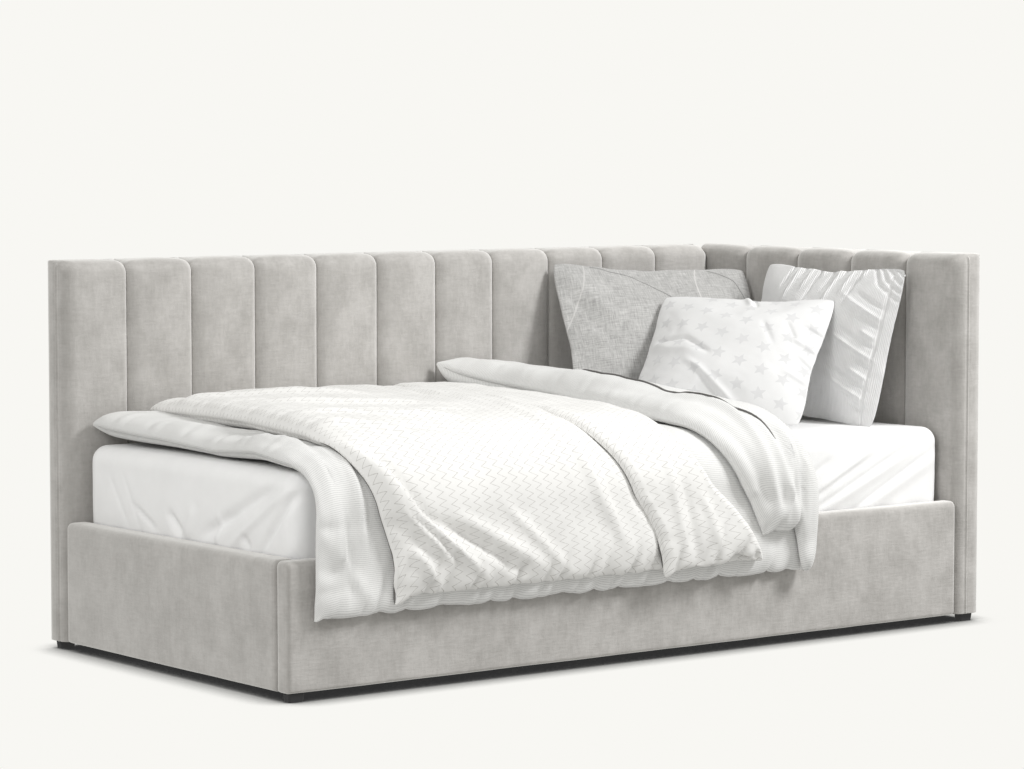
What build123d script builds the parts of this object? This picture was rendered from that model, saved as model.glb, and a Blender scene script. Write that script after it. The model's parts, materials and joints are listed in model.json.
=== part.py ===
from build123d import *
import math
import os

# Daybed with a channelled back panel and head panel, two low padded rails, a slatted platform that
# lifts level on four arms over a storage floor, and the made-up bedding on top.
# Millimetres, +Z up. X runs from the foot to the head, Y from the open front to the long back.
# The origin is on the floor, at the middle of everything, the quilt that hangs over the front included.

# ---- overall size ------------------------------------------------------------------------------
length = 2140
depth = 1050
height = 950
rail_top = 315
floor_gap = 20
panel_thick = 80
rail_thick = 48
quilt_overhang = 62

# ---- main planes -------------------------------------------------------------------------------
x_foot = -length / 2
x_head = length / 2
y_front = (quilt_overhang - depth) / 2
y_back = y_front + depth
foot_in = x_foot + rail_thick
head_in = x_head - panel_thick
front_in = y_front + rail_thick
back_in = y_back - panel_thick

# ---- boards and upholstery ---------------------------------------------------------------------
board = 18
stud_depth = 20
lining = 2
edge_pad = 15
back_channels = 11
head_channels = 5
channel_foot = 285
seam_radius = 8
top_round = 14
stud_width = 40
inner_rail_top = 285
inner_rail_bottom = 40
back_face = back_in - board
head_face = head_in - board

# ---- storage floor and feet --------------------------------------------------------------------
floor_board = 10
batten = 20
beam_width = 40
foot_length = 42
foot_depth = 26
foot_inset = 10

# ---- lift --------------------------------------------------------------------------------------
arm_length = 420
arm_width = 30
plate = 5
pivot_z = 224
foot_pivot_x = x_foot + 350
head_pivot_x = x_foot + 1350
pin_radius = 5
running_fit = 0.05
open_fit = 0.3
plate_near = 0
arm_near = 6.5
bracket_near = 13
strut_arm = 160
strut_angle = 70
strut_centre = 25
stud_radius = 4
cylinder_radius = 9
rod_radius = 4
slot_travel = 7.4

# ---- platform ----------------------------------------------------------------------------------
tube = 30
tube_wall = 2
tube_bottom = 242
tube_near = 13
tube_top = tube_bottom + tube
slat_count = 14
slat_width = 68
slat_thick = 8
slat_pitch = 140
slat_rise = 7
holder_base = 2
holder_height = 12
platform_foot = foot_in + 13
platform_head = head_face - 7

# ---- bedding -----------------------------------------------------------------------------------
mattress_foot = foot_in + 6.5
mattress_length = 2000
mattress_front = front_in + 8
mattress_width = 900
mattress_bottom = 290.5
mattress_top = 500
sheet = 2.5
sheet_hem = 300
duvet_top = 556
quilt_top = 612
duvet_hem = 185
quilt_hem = 225
drop_gap = 4
duvet_face = y_front - 32
quilt_face = y_front - quilt_overhang
bedding_back = mattress_front + mattress_width


def block(x, y, z, mode=Mode.ADD):
    """Add a square-edged block that fills three (low, high) spans."""
    middle = ((x[0] + x[1]) / 2, (y[0] + y[1]) / 2, (z[0] + z[1]) / 2)
    with Locations(middle):
        Box(x[1] - x[0], y[1] - y[0], z[1] - z[0], mode=mode)


def across(side, near, far):
    """The span across the bed between two distances inwards from a side's inner face."""
    if side == "front":
        return (front_in + near, front_in + far)
    return (back_face - far, back_face - near)


def upright(span):
    """An upright plane on the rear of a span across the bed: X to the right, Z up, facing forwards."""
    return Plane.XZ.offset(-span[1])


def round_bar(span, points, radius, mode=Mode.ADD):
    """Add round bars across the bed, one at each (x, z) point."""
    with BuildSketch(upright(span)) as outline:
        with Locations(*points):
            Circle(radius)
    extrude(outline.sketch, amount=span[1] - span[0], mode=mode)


def save(part, name):
    """Label a finished piece and write it to its own file."""
    part.label = name
    export_step(part, f"parts/{name}.step")


os.makedirs("parts", exist_ok=True)

# ---- long back panel ---------------------------------------------------------------------------
board_top = height - edge_pad
core_front = back_in + panel_thick - lining - stud_depth - board
core_back = core_front + board
lining_front = y_back - lining
back_pitch = (head_in - x_foot) / back_channels

with BuildPart() as back_panel_board:
    block((x_foot + edge_pad, head_in), (core_front, core_back), (floor_gap, board_top))
save(back_panel_board.part, "back_panel_board")

with BuildPart() as back_panel_studs:
    for stud in range(back_channels):
        stud_x = x_foot + back_pitch * (stud + 0.5)
        stud_span = (stud_x - stud_width / 2, stud_x + stud_width / 2)
        block(stud_span, (core_back, lining_front), (floor_gap, board_top))
save(back_panel_studs.part, "back_panel_studs")

with BuildPart() as back_panel_padding:
    block((x_foot, head_in), (back_in, lining_front), (floor_gap, height))
    fillet(back_panel_padding.edges().filter_by(Axis.X).group_by(Axis.Z)[-1], top_round)
    block((x_foot + edge_pad, head_in), (core_front, lining_front), (floor_gap, board_top), Mode.SUBTRACT)
    with BuildSketch(Plane.XY.offset(channel_foot)) as back_seams:
        with Locations(*[(x_foot + back_pitch * seam, back_in) for seam in range(1, back_channels)]):
            Circle(seam_radius)
    extrude(back_seams.sketch, amount=height - channel_foot, mode=Mode.SUBTRACT)
save(back_panel_padding.part, "back_panel_padding")

with BuildPart() as back_panel_lining:
    block((x_foot, head_in), (lining_front, y_back), (floor_gap, height - edge_pad))
save(back_panel_lining.part, "back_panel_lining")

# ---- head panel --------------------------------------------------------------------------------
head_core = head_in + panel_thick - lining - stud_depth - board
head_core_back = head_core + board
head_lining = x_head - lining
head_pitch = depth / head_channels

with BuildPart() as head_panel_board:
    block((head_core, head_core_back), (y_front + edge_pad, y_back - edge_pad), (floor_gap, board_top))
save(head_panel_board.part, "head_panel_board")

with BuildPart() as head_panel_studs:
    for stud in range(head_channels):
        stud_y = y_front + head_pitch * (stud + 0.5)
        stud_span = (stud_y - stud_width / 2, stud_y + stud_width / 2)
        block((head_core_back, head_lining), stud_span, (floor_gap, board_top))
save(head_panel_studs.part, "head_panel_studs")

with BuildPart() as head_panel_padding:
    block((head_in, head_lining), (y_front, y_back), (floor_gap, height))
    fillet(head_panel_padding.edges().filter_by(Axis.Y).group_by(Axis.Z)[-1], top_round)
    block(
        (head_core, head_lining),
        (y_front + edge_pad, y_back - edge_pad),
        (floor_gap, board_top),
        Mode.SUBTRACT,
    )
    with BuildSketch(Plane.XY.offset(channel_foot)) as head_seams:
        with Locations(*[(head_in, y_front + head_pitch * seam) for seam in range(1, head_channels)]):
            Circle(seam_radius)
    extrude(head_seams.sketch, amount=height - channel_foot, mode=Mode.SUBTRACT)
save(head_panel_padding.part, "head_panel_padding")

with BuildPart() as head_panel_lining:
    block((head_lining, x_head), (y_front, y_back), (floor_gap, height - edge_pad))
save(head_panel_lining.part, "head_panel_lining")

# ---- low rails ---------------------------------------------------------------------------------
rail_board_top = rail_top - edge_pad

with BuildPart() as front_rail_board:
    block((x_foot + edge_pad, head_in), (front_in - board, front_in), (floor_gap, rail_board_top))
save(front_rail_board.part, "front_rail_board")

with BuildPart() as front_rail_cover:
    block((x_foot, head_in), (y_front, front_in), (floor_gap, rail_top))
    fillet(front_rail_cover.edges().filter_by(Axis.X).group_by(Axis.Z)[-1], edge_pad - 1)
    block(
        (x_foot + edge_pad, head_in),
        (front_in - board, front_in),
        (floor_gap, rail_board_top),
        Mode.SUBTRACT,
    )
save(front_rail_cover.part, "front_rail_cover")

with BuildPart() as foot_rail_board:
    block((foot_in - board, foot_in), (front_in, back_in), (floor_gap, rail_board_top))
save(foot_rail_board.part, "foot_rail_board")

with BuildPart() as foot_rail_cover:
    block((x_foot, foot_in), (front_in, back_in), (floor_gap, rail_top))
    fillet(foot_rail_cover.edges().filter_by(Axis.Y).group_by(Axis.Z)[-1], edge_pad - 1)
    block((foot_in - board, foot_in), (front_in, back_in), (floor_gap, rail_board_top), Mode.SUBTRACT)
save(foot_rail_cover.part, "foot_rail_cover")

with BuildPart() as inner_back_rail:
    block((foot_in, head_in), (back_face, back_in), (inner_rail_bottom, inner_rail_top))
save(inner_back_rail.part, "inner_back_rail")

with BuildPart() as inner_head_rail:
    block((head_face, head_in), (front_in, back_face), (inner_rail_bottom, inner_rail_top))
save(inner_head_rail.part, "inner_head_rail")

# ---- corner brackets and their bolts -----------------------------------------------------------
bracket_leg = 50
bracket_steel = 3
bracket_span = (70, 200)
bolt_heights = (95, 175)
bolt_reach = 30
bolt_radius = 3
bolt_depth = 14
bolt_head = 4
inner_corners = [
    (foot_in, front_in, 1, 1),
    (foot_in, back_face, 1, -1),
    (head_face, front_in, -1, 1),
    (head_face, back_face, -1, -1),
]


def ordered(first, second):
    """A (low, high) span from two ends in either order."""
    return (min(first, second), max(first, second))


def corner_bolt_set(radius, start, end, mode=Mode.ADD):
    """Add the bolts of every inner corner, between two distances inwards from the board's face."""
    for corner_x, corner_y, inward_x, inward_y in inner_corners:
        for bolt_z in bolt_heights:
            span = ordered(corner_x + inward_x * start, corner_x + inward_x * end)
            with BuildSketch(Plane.YZ.offset(span[0])) as outline:
                with Locations((corner_y + inward_y * bolt_reach, bolt_z)):
                    Circle(radius)
            extrude(outline.sketch, amount=span[1] - span[0], mode=mode)
            span = ordered(corner_y + inward_y * start, corner_y + inward_y * end)
            round_bar(span, [(corner_x + inward_x * bolt_reach, bolt_z)], radius, mode)


with BuildPart() as corner_brackets:
    for corner_x, corner_y, inward_x, inward_y in inner_corners:
        long_x = ordered(corner_x, corner_x + inward_x * bracket_leg)
        long_y = ordered(corner_y, corner_y + inward_y * bracket_leg)
        thin_x = ordered(corner_x, corner_x + inward_x * bracket_steel)
        thin_y = ordered(corner_y, corner_y + inward_y * bracket_steel)
        block(long_x, thin_y, bracket_span)
        block(thin_x, long_y, bracket_span)
    corner_bolt_set(bolt_radius + open_fit, -1, bracket_steel + 1, Mode.SUBTRACT)
save(corner_brackets.part, "corner_brackets")

with BuildPart() as corner_bolts:
    corner_bolt_set(bolt_radius, -bolt_depth, bracket_steel)
    corner_bolt_set(bolt_radius * 2, bracket_steel, bracket_steel + bolt_head)
save(corner_bolts.part, "corner_bolts")

# ---- storage floor -----------------------------------------------------------------------------
floor_underside = floor_gap + batten

with BuildPart() as front_floor_batten:
    block((foot_in, head_face), (front_in, front_in + batten), (floor_gap, floor_underside))
save(front_floor_batten.part, "front_floor_batten")

with BuildPart() as back_floor_batten:
    block((foot_in, head_in), (back_in - batten, back_in), (floor_gap, floor_underside))
save(back_floor_batten.part, "back_floor_batten")

with BuildPart() as floor_cross_beam:
    beam_span = (-beam_width / 2, beam_width / 2)
    block(beam_span, (front_in + batten, back_in - batten), (floor_gap, floor_underside))
save(floor_cross_beam.part, "floor_cross_beam")

with BuildPart() as storage_floor:
    floor_y = (front_in, back_face)
    floor_z = (floor_underside, floor_underside + floor_board)
    block((foot_in, -0.5), floor_y, floor_z)
    block((0.5, head_face), floor_y, floor_z)
save(storage_floor.part, "storage_floor")

# ---- feet --------------------------------------------------------------------------------------
foot_centres = {
    "foot_front_left": (x_foot + foot_inset + foot_length / 2, y_front + foot_inset + foot_depth / 2),
    "foot_back_left": (x_foot + foot_inset + foot_length / 2, y_back - foot_inset - foot_depth / 2),
    "foot_front_right": (x_head - foot_inset - foot_length / 2, y_front + foot_inset + foot_depth / 2),
    "foot_back_right": (x_head - foot_inset - foot_length / 2, y_back - foot_inset - foot_depth / 2),
}


def plain_foot(centre):
    """Add one oblong plastic foot with slightly drawn-in bottom edges."""
    with BuildSketch() as sole:
        with Locations(centre):
            RectangleRounded(foot_length - 4, foot_depth - 4, 4)
    with BuildSketch(Plane.XY.offset(floor_gap)) as seat:
        with Locations(centre):
            RectangleRounded(foot_length, foot_depth, 4)
    loft([sole.sketch.face(), seat.sketch.face()])


for foot_name, foot_centre in foot_centres.items():
    with BuildPart() as corner_foot:
        plain_foot(foot_centre)
    save(corner_foot.part, foot_name)

with BuildPart() as centre_feet:
    for centre_y in (front_in + 250, back_in - 250):
        plain_foot((0, centre_y))
save(centre_feet.part, "centre_feet")

# ---- lift: fixed plates, pins and screws -------------------------------------------------------
strut_turn = math.radians(strut_angle)
stud_x = head_pivot_x + strut_arm * math.cos(strut_turn)
stud_z = pivot_z - strut_arm * math.sin(strut_turn)
pivots = {"foot": foot_pivot_x, "head": head_pivot_x}
plate_low = {"foot": pivot_z - 44, "head": stud_z - 20}
plate_high = pivot_z + 26
plate_left = 30
plate_right = {"foot": 30, "head": 84}
screw_radius = 2.5
screw_depth = 14
screw_head = 1


def screw_points(end):
    """The four screw positions of one fixed plate, near its corners."""
    left = pivots[end] - plate_left + 9
    right = pivots[end] + plate_right[end] - 9
    low = plate_low[end] + 9
    high = plate_high - 9
    return [(left, low), (right, low), (left, high), (right, high)]


for end, pivot_x in pivots.items():
    for side in ("front", "back"):
        plate_span = across(side, plate_near, plate_near + plate)
        with BuildPart() as pivot_plate:
            with BuildSketch(upright(plate_span)):
                middle_x = pivot_x + (plate_right[end] - plate_left) / 2
                middle_z = (plate_low[end] + plate_high) / 2
                with Locations((middle_x, middle_z)):
                    plate_wide = plate_right[end] + plate_left
                    RectangleRounded(plate_wide, plate_high - plate_low[end], 8)
                with Locations(*screw_points(end)):
                    Circle(screw_radius + open_fit, mode=Mode.SUBTRACT)
            extrude(amount=plate)
        save(pivot_plate.part, f"pivot_plate_{end}_{side}")

with BuildPart() as plate_screws:
    for end in pivots:
        for side in ("front", "back"):
            round_bar(across(side, plate_near - screw_depth, plate), screw_points(end), screw_radius)
            round_bar(across(side, plate, plate + screw_head), screw_points(end), screw_radius * 2)
save(plate_screws.part, "plate_screws")

with BuildPart() as lower_pivot_pins:
    for side in ("front", "back"):
        lower_points = [(pivot_x, pivot_z) for pivot_x in pivots.values()]
        round_bar(across(side, plate, arm_near + plate + 0.5), lower_points, pin_radius)
        round_bar(across(side, arm_near + plate + 0.5, arm_near + plate + 1.5), lower_points, pin_radius + 3)
save(lower_pivot_pins.part, "lower_pivot_pins")

eye_thick = 12
eye_near = strut_centre - eye_thick / 2
eye_far = strut_centre + eye_thick / 2

with BuildPart() as lower_strut_studs:
    for side in ("front", "back"):
        round_bar(across(side, plate, eye_far + 1), [(stud_x, stud_z)], stud_radius)
        round_bar(across(side, eye_far + 1, eye_far + 3), [(stud_x, stud_z)], stud_radius + 3)
        round_bar(across(side, plate, eye_near - 1), [(stud_x, stud_z)], stud_radius + 3)
save(lower_strut_studs.part, "lower_strut_studs")

# ---- lift: arms --------------------------------------------------------------------------------
upper_stud = (head_pivot_x + strut_arm, pivot_z)

for end, pivot_x in pivots.items():
    upper_fit = running_fit if end == "head" else open_fit
    for side in ("front", "back"):
        with BuildPart() as lift_arm:
            with BuildSketch(upright(across(side, arm_near, arm_near + plate))):
                with Locations((pivot_x + arm_length / 2, pivot_z)):
                    SlotCenterToCenter(arm_length, arm_width)
                with Locations((pivot_x, pivot_z)):
                    Circle(pin_radius + running_fit, mode=Mode.SUBTRACT)
                with Locations((pivot_x + arm_length, pivot_z)):
                    Circle(pin_radius + upper_fit, mode=Mode.SUBTRACT)
            extrude(amount=plate)
        save(lift_arm.part, f"{end}_arm_{side}")

with BuildPart() as upper_strut_studs:
    for side in ("front", "back"):
        round_bar(across(side, arm_near + plate, eye_far + 1), [upper_stud], stud_radius)
        round_bar(across(side, eye_far + 1, eye_far + 3), [upper_stud], stud_radius + 3)
save(upper_strut_studs.part, "upper_strut_studs")

# ---- gas struts --------------------------------------------------------------------------------
closed_length = 2 * strut_arm * math.sin(strut_turn / 2)
strut_x = (upper_stud[0] - stud_x) / closed_length
strut_z = (upper_stud[1] - stud_z) / closed_length
barrel_start = 12
barrel_end = 154
gland_depth = 8
barrel_wall = 1.5
piston_from_eye = 147.5
piston_thick = 8
fitting_length = 22


def strut_plane(side, along):
    """A plane square to a strut, at a distance from its lower eye towards its upper eye."""
    span = across(side, strut_centre, strut_centre)
    middle = (stud_x + strut_x * along, span[0], stud_z + strut_z * along)
    return Plane(origin=middle, x_dir=(0, 1, 0), z_dir=(strut_x, 0, strut_z))


def strut_round(side, start, end, radius, mode=Mode.ADD):
    """Add a round length of strut between two distances from its lower eye."""
    with BuildSketch(strut_plane(side, start)) as outline:
        Circle(radius)
    extrude(outline.sketch, amount=end - start, mode=mode)


for side in ("front", "back"):
    with BuildPart() as gas_cylinder:
        strut_round(side, barrel_start, barrel_end, cylinder_radius)
        bore_radius = cylinder_radius - barrel_wall
        strut_round(side, barrel_start + 4, barrel_end - gland_depth, bore_radius, Mode.SUBTRACT)
        strut_round(side, barrel_end - gland_depth, barrel_end, rod_radius + running_fit, Mode.SUBTRACT)
        strut_round(side, 4, barrel_start, cylinder_radius - 4)
        round_bar(across(side, eye_near, eye_far), [(stud_x, stud_z)], cylinder_radius)
        hole_span = across(side, eye_near - 1, eye_far + 1)
        round_bar(hole_span, [(stud_x, stud_z)], stud_radius + running_fit, Mode.SUBTRACT)
    save(gas_cylinder.part, f"gas_cylinder_{side}")

    with BuildPart() as gas_rod:
        piston_start = closed_length - piston_from_eye
        strut_round(side, piston_start, piston_start + piston_thick, bore_radius - running_fit)
        strut_round(side, piston_start, closed_length - cylinder_radius, rod_radius)
        strut_round(side, closed_length - fitting_length, closed_length - 4, rod_radius + 2)
        with BuildSketch(upright(across(side, eye_near, eye_far))):
            slot_x = upper_stud[0] + strut_x * slot_travel / 2
            slot_z = upper_stud[1] + strut_z * slot_travel / 2
            slot_turn = math.degrees(math.atan2(strut_z, strut_x))
            with Locations(Location((slot_x, slot_z), slot_turn)):
                SlotCenterToCenter(slot_travel, 2 * cylinder_radius)
        extrude(amount=eye_thick)
        with BuildSketch(upright(across(side, eye_near - 1, eye_far + 1))):
            with Locations(Location((slot_x, slot_z), slot_turn)):
                SlotCenterToCenter(slot_travel, 2 * (stud_radius + open_fit))
        extrude(amount=eye_thick + 2, mode=Mode.SUBTRACT)
    save(gas_rod.part, f"gas_rod_{side}")

# ---- ledges that the lowered platform rests over -----------------------------------------------
ledge_width = 30
ledge_height = 20
bumper_thick = 5.7
bumper_radius = 8
ledge_top = tube_bottom - open_fit - bumper_thick
ledge_inset = 60
ledge_y = (front_in + ledge_inset, back_face - ledge_inset)
ledge_z = (ledge_top - ledge_height, ledge_top)

with BuildPart() as foot_ledge:
    block((foot_in, foot_in + ledge_width), ledge_y, ledge_z)
save(foot_ledge.part, "foot_ledge")

with BuildPart() as head_ledge:
    block((head_face - ledge_width, head_face), ledge_y, ledge_z)
save(head_ledge.part, "head_ledge")

with BuildPart() as ledge_bumpers:
    with BuildSketch(Plane.XY.offset(ledge_top)):
        for bumper_x in (foot_in + ledge_width - bumper_radius, head_face - ledge_width + bumper_radius):
            with Locations((bumper_x, ledge_y[0] + 40), (bumper_x, ledge_y[1] - 40)):
                Circle(bumper_radius)
    extrude(amount=bumper_thick)
save(ledge_bumpers.part, "ledge_bumpers")

# ---- platform frame ----------------------------------------------------------------------------
tube_z = (tube_bottom, tube_top)


def hollow_tube(x, y, lengthwise):
    """Add a square steel tube, open at its two ends."""
    block(x, y, tube_z)
    bore_x = x if lengthwise else (x[0] + tube_wall, x[1] - tube_wall)
    bore_y = (y[0] + tube_wall, y[1] - tube_wall) if lengthwise else y
    block(bore_x, bore_y, (tube_bottom + tube_wall, tube_top - tube_wall), Mode.SUBTRACT)


for side in ("front", "back"):
    with BuildPart() as side_tube:
        hollow_tube((platform_foot, platform_head), across(side, tube_near, tube_near + tube), True)
    save(side_tube.part, f"platform_side_tube_{side}")

between_sides = (front_in + tube_near + tube, back_face - tube_near - tube)
cross_tubes = {
    "platform_end_tube_foot": platform_foot,
    "platform_cross_tube": (platform_foot + platform_head - tube) / 2,
    "platform_end_tube_head": platform_head - tube,
}
for tube_name, tube_x in cross_tubes.items():
    with BuildPart() as cross_tube:
        hollow_tube((tube_x, tube_x + tube), between_sides, False)
    save(cross_tube.part, tube_name)

bracket_reach = 18

with BuildPart() as arm_brackets:
    for side in ("front", "back"):
        for pivot_x in pivots.values():
            with BuildSketch(upright(across(side, bracket_near, bracket_near + plate))) as bracket:
                with Locations((pivot_x + arm_length, pivot_z)):
                    Circle(bracket_reach)
                    rise = tube_bottom - pivot_z
                    Rectangle(2 * bracket_reach, rise, align=(Align.CENTER, Align.MIN))
            extrude(bracket.sketch, amount=plate)
save(arm_brackets.part, "arm_brackets")

with BuildPart() as upper_pivot_pins:
    upper_points = [(pivot_x + arm_length, pivot_z) for pivot_x in pivots.values()]
    for side in ("front", "back"):
        round_bar(across(side, arm_near - 0.5, bracket_near), upper_points, pin_radius)
save(upper_pivot_pins.part, "upper_pivot_pins")

# ---- slats and their holders -------------------------------------------------------------------
slat_middle = (platform_foot + platform_head) / 2
slat_start = slat_middle - slat_pitch * (slat_count - 1) / 2
slat_places = [slat_start + slat_pitch * slat for slat in range(slat_count)]
slat_ends = (front_in + tube_near + 3, back_face - tube_near - 3)
slat_bottom = tube_top + holder_base
middle_y = (slat_ends[0] + slat_ends[1]) / 2

with BuildPart() as slats:
    for slat_x in slat_places:
        with BuildSketch(Plane.YZ.offset(slat_x - slat_width / 2)) as bow:
            with BuildLine():
                under_start = (slat_ends[0], slat_bottom)
                under_end = (slat_ends[1], slat_bottom)
                over_start = (slat_ends[0], slat_bottom + slat_thick)
                over_end = (slat_ends[1], slat_bottom + slat_thick)
                ThreePointArc(under_start, (middle_y, slat_bottom + slat_rise), under_end)
                Line(under_end, over_end)
                ThreePointArc(over_end, (middle_y, slat_bottom + slat_thick + slat_rise), over_start)
                Line(over_start, under_start)
            make_face()
        extrude(bow.sketch, amount=slat_width)
save(slats.part, "slats")

with BuildPart() as slat_holders:
    for slat_x in slat_places:
        for side in ("front", "back"):
            wide = (slat_x - slat_width / 2 - 3, slat_x + slat_width / 2 + 3)
            block(wide, across(side, tube_near, tube_near + tube), (tube_top, tube_top + holder_height))
    for slat_x in slat_places:
        for side in ("front", "back"):
            gap = (slat_x - slat_width / 2, slat_x + slat_width / 2)
            pocket = across(side, tube_near + 3, tube_near + tube)
            block(gap, pocket, (slat_bottom, tube_top + holder_height), Mode.SUBTRACT)
save(slat_holders.part, "slat_holders")

# ---- mattress and fitted sheet -----------------------------------------------------------------
mattress_x = (mattress_foot, mattress_foot + mattress_length)
mattress_y = (mattress_front, mattress_front + mattress_width)
corner_round = 40
edge_round = 35


def rounded_bed(grow, bottom, top):
    """Add a mattress shape with rounded corners and top edges, grown outwards by a thickness."""
    with BuildSketch(Plane.XY.offset(bottom)) as outline:
        with Locations(((mattress_x[0] + mattress_x[1]) / 2, (mattress_y[0] + mattress_y[1]) / 2)):
            RectangleRounded(
                mattress_length + 2 * grow,
                mattress_width + 2 * grow,
                corner_round + grow,
            )
    extrude(outline.sketch, amount=top - bottom)


with BuildPart() as mattress:
    rounded_bed(0, mattress_bottom, mattress_top)
    fillet(mattress.faces().sort_by(Axis.Z)[-1].edges(), edge_round)
save(mattress.part, "mattress")

with BuildPart() as fitted_sheet:
    rounded_bed(sheet, sheet_hem, mattress_top + sheet)
    fillet(fitted_sheet.faces().sort_by(Axis.Z)[-1].edges(), edge_round + sheet)
    add(mattress.part, mode=Mode.SUBTRACT)
save(fitted_sheet.part, "fitted_sheet")

# ---- duvet and quilt ---------------------------------------------------------------------------
lie_gap = 0.5
duvet_foot = x_foot + 66
duvet_head_back = x_foot + 1140
duvet_head_front = x_foot + 1522
quilt_foot = x_foot + 245
quilt_head_back = x_foot + 1060
quilt_head_front = x_foot + 1360
duvet_under = mattress_top + sheet + lie_gap
quilt_under = duvet_top + lie_gap
fold_top = duvet_top + 84
fold_gap = 8
fold_hem = duvet_hem + 105


def draped(outline, foot, head_back, head_front):
    """Add a cover of one cross-section, with its head edge running at a slant across the bed."""
    with BuildSketch(Plane.YZ.offset(foot)) as section:
        with BuildLine():
            Polyline(*outline, close=True)
        make_face()
    extrude(section.sketch, amount=head_front - foot)
    with BuildSketch() as trimmed:
        with BuildLine():
            Polyline(
                (head_back, bedding_back + 1),
                (head_front, quilt_face - 1),
                (head_front + 1, bedding_back + 1),
                close=True,
            )
        make_face()
    extrude(trimmed.sketch, amount=height, mode=Mode.SUBTRACT)


with BuildPart() as duvet_fold:
    draped(
        [
            (bedding_back, duvet_under),
            (front_in + 4, duvet_under),
            (y_front - drop_gap, rail_top + 15),
            (y_front - drop_gap, fold_hem),
            (quilt_face, fold_hem),
            (quilt_face, mattress_top - 20),
            (quilt_face + 80, duvet_top + 24),
            (quilt_face + 330, fold_top),
            (bedding_back, fold_top),
        ],
        quilt_head_back,
        duvet_head_back + 100,
        duvet_head_front,
    )
    with BuildSketch() as quilt_side:
        with BuildLine():
            Polyline(
                (quilt_head_back - 1, bedding_back + 1),
                (quilt_head_back + fold_gap, bedding_back + 1),
                (quilt_head_front + fold_gap, quilt_face - 1),
                (quilt_head_back - 1, quilt_face - 1),
                close=True,
            )
        make_face()
    extrude(quilt_side.sketch, amount=height, mode=Mode.SUBTRACT)

with BuildPart() as striped_duvet:
    draped(
        [
            (bedding_back, duvet_under),
            (front_in + 4, duvet_under),
            (y_front - drop_gap, rail_top + 15),
            (y_front - drop_gap, duvet_hem),
            (duvet_face, duvet_hem),
            (duvet_face, mattress_top),
            (duvet_face + 44, duvet_top),
            (bedding_back, duvet_top),
        ],
        duvet_foot,
        duvet_head_back,
        duvet_head_front,
    )
    add(duvet_fold.part)
save(striped_duvet.part, "striped_duvet")

with BuildPart() as zigzag_quilt:
    draped(
        [
            (bedding_back, quilt_under),
            (duvet_face + 44, quilt_under),
            (duvet_face - lie_gap, mattress_top),
            (duvet_face - lie_gap, quilt_hem),
            (quilt_face, quilt_hem),
            (quilt_face, mattress_top + 35),
            (quilt_face + 62, quilt_top),
            (bedding_back, quilt_top),
        ],
        quilt_foot,
        quilt_head_back,
        quilt_head_front,
    )
save(zigzag_quilt.part, "zigzag_quilt")

# ---- cushions ----------------------------------------------------------------------------------
# Each row is a name, its centre from the foot and front corner, its facing angle, its lean, its
# width, its height and its thickness.
cushions = [
    ("linen_cushion", (1726, 806, 707), -105, 20, 530, 400, 100),
    ("star_pillow", (1706, 480, 668), -149.5, 47, 450, 430, 100),
    ("ribbed_cushion", (1985, 420, 706), 180, 15, 490, 390, 80),
]
crown = 0.5
cushion_corner = 50


def cushion(centre, facing, lean, wide, high, thick):
    """Add a crowned cushion: a thin-edged lens between its front and back crowns."""
    turn = math.radians(facing)
    tilt = math.radians(lean)
    outward = (math.cos(turn) * math.cos(tilt), math.sin(turn) * math.cos(tilt), math.sin(tilt))
    along = (-math.sin(turn), math.cos(turn), 0)
    middle = Plane(
        origin=(x_foot + centre[0], y_front + centre[1], centre[2]),
        x_dir=along,
        z_dir=outward,
    )
    layers = []
    for step, share in ((-0.5, crown), (-0.12, 1), (0.12, 1), (0.5, crown)):
        with BuildSketch(middle.offset(thick * step)) as layer:
            RectangleRounded(wide * share, high * share, cushion_corner * share)
        layers.append(layer.sketch.face())
    loft(layers, ruled=True)


for name, centre, facing, lean, wide, high, thick in cushions:
    with BuildPart() as soft_cushion:
        cushion(centre, facing, lean, wide, high, thick)
    save(soft_cushion.part, name)
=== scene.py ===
import json
import math

import bmesh
import bpy
import numpy as np
from mathutils import Matrix, Vector
from mathutils.bvhtree import BVHTree


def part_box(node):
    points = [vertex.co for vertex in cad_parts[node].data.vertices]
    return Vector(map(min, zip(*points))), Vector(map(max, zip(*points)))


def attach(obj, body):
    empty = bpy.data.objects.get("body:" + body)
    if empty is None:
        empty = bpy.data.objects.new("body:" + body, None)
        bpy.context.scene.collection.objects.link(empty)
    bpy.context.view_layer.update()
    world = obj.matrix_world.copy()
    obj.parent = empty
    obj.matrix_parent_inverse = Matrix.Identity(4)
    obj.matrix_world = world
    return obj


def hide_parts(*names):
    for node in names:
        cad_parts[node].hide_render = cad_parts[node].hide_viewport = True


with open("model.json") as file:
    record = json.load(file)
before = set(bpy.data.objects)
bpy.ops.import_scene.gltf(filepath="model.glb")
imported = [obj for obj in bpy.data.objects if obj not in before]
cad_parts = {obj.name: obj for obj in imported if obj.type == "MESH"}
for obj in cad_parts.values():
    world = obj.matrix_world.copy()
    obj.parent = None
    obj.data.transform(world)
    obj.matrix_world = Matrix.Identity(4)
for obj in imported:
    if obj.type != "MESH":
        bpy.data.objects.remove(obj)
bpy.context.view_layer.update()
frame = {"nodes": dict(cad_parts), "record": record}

# ---- places taken from the frame, in metres ----------------------------------------------------
rail_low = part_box("front_rail_cover")[0]
sheet_low, sheet_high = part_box("fitted_sheet")
mattress_low, mattress_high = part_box("mattress")
corner = Vector((rail_low[0], rail_low[1], 0.0))


def at(x, y, z):
    """A point measured from the outer corner of the foot rail and the front rail, on the floor."""
    return corner + Vector((x, y, z))


def put(name, data):
    """A new object in the scene."""
    thing = bpy.data.objects.new(name, data)
    bpy.context.collection.objects.link(thing)
    return thing


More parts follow.
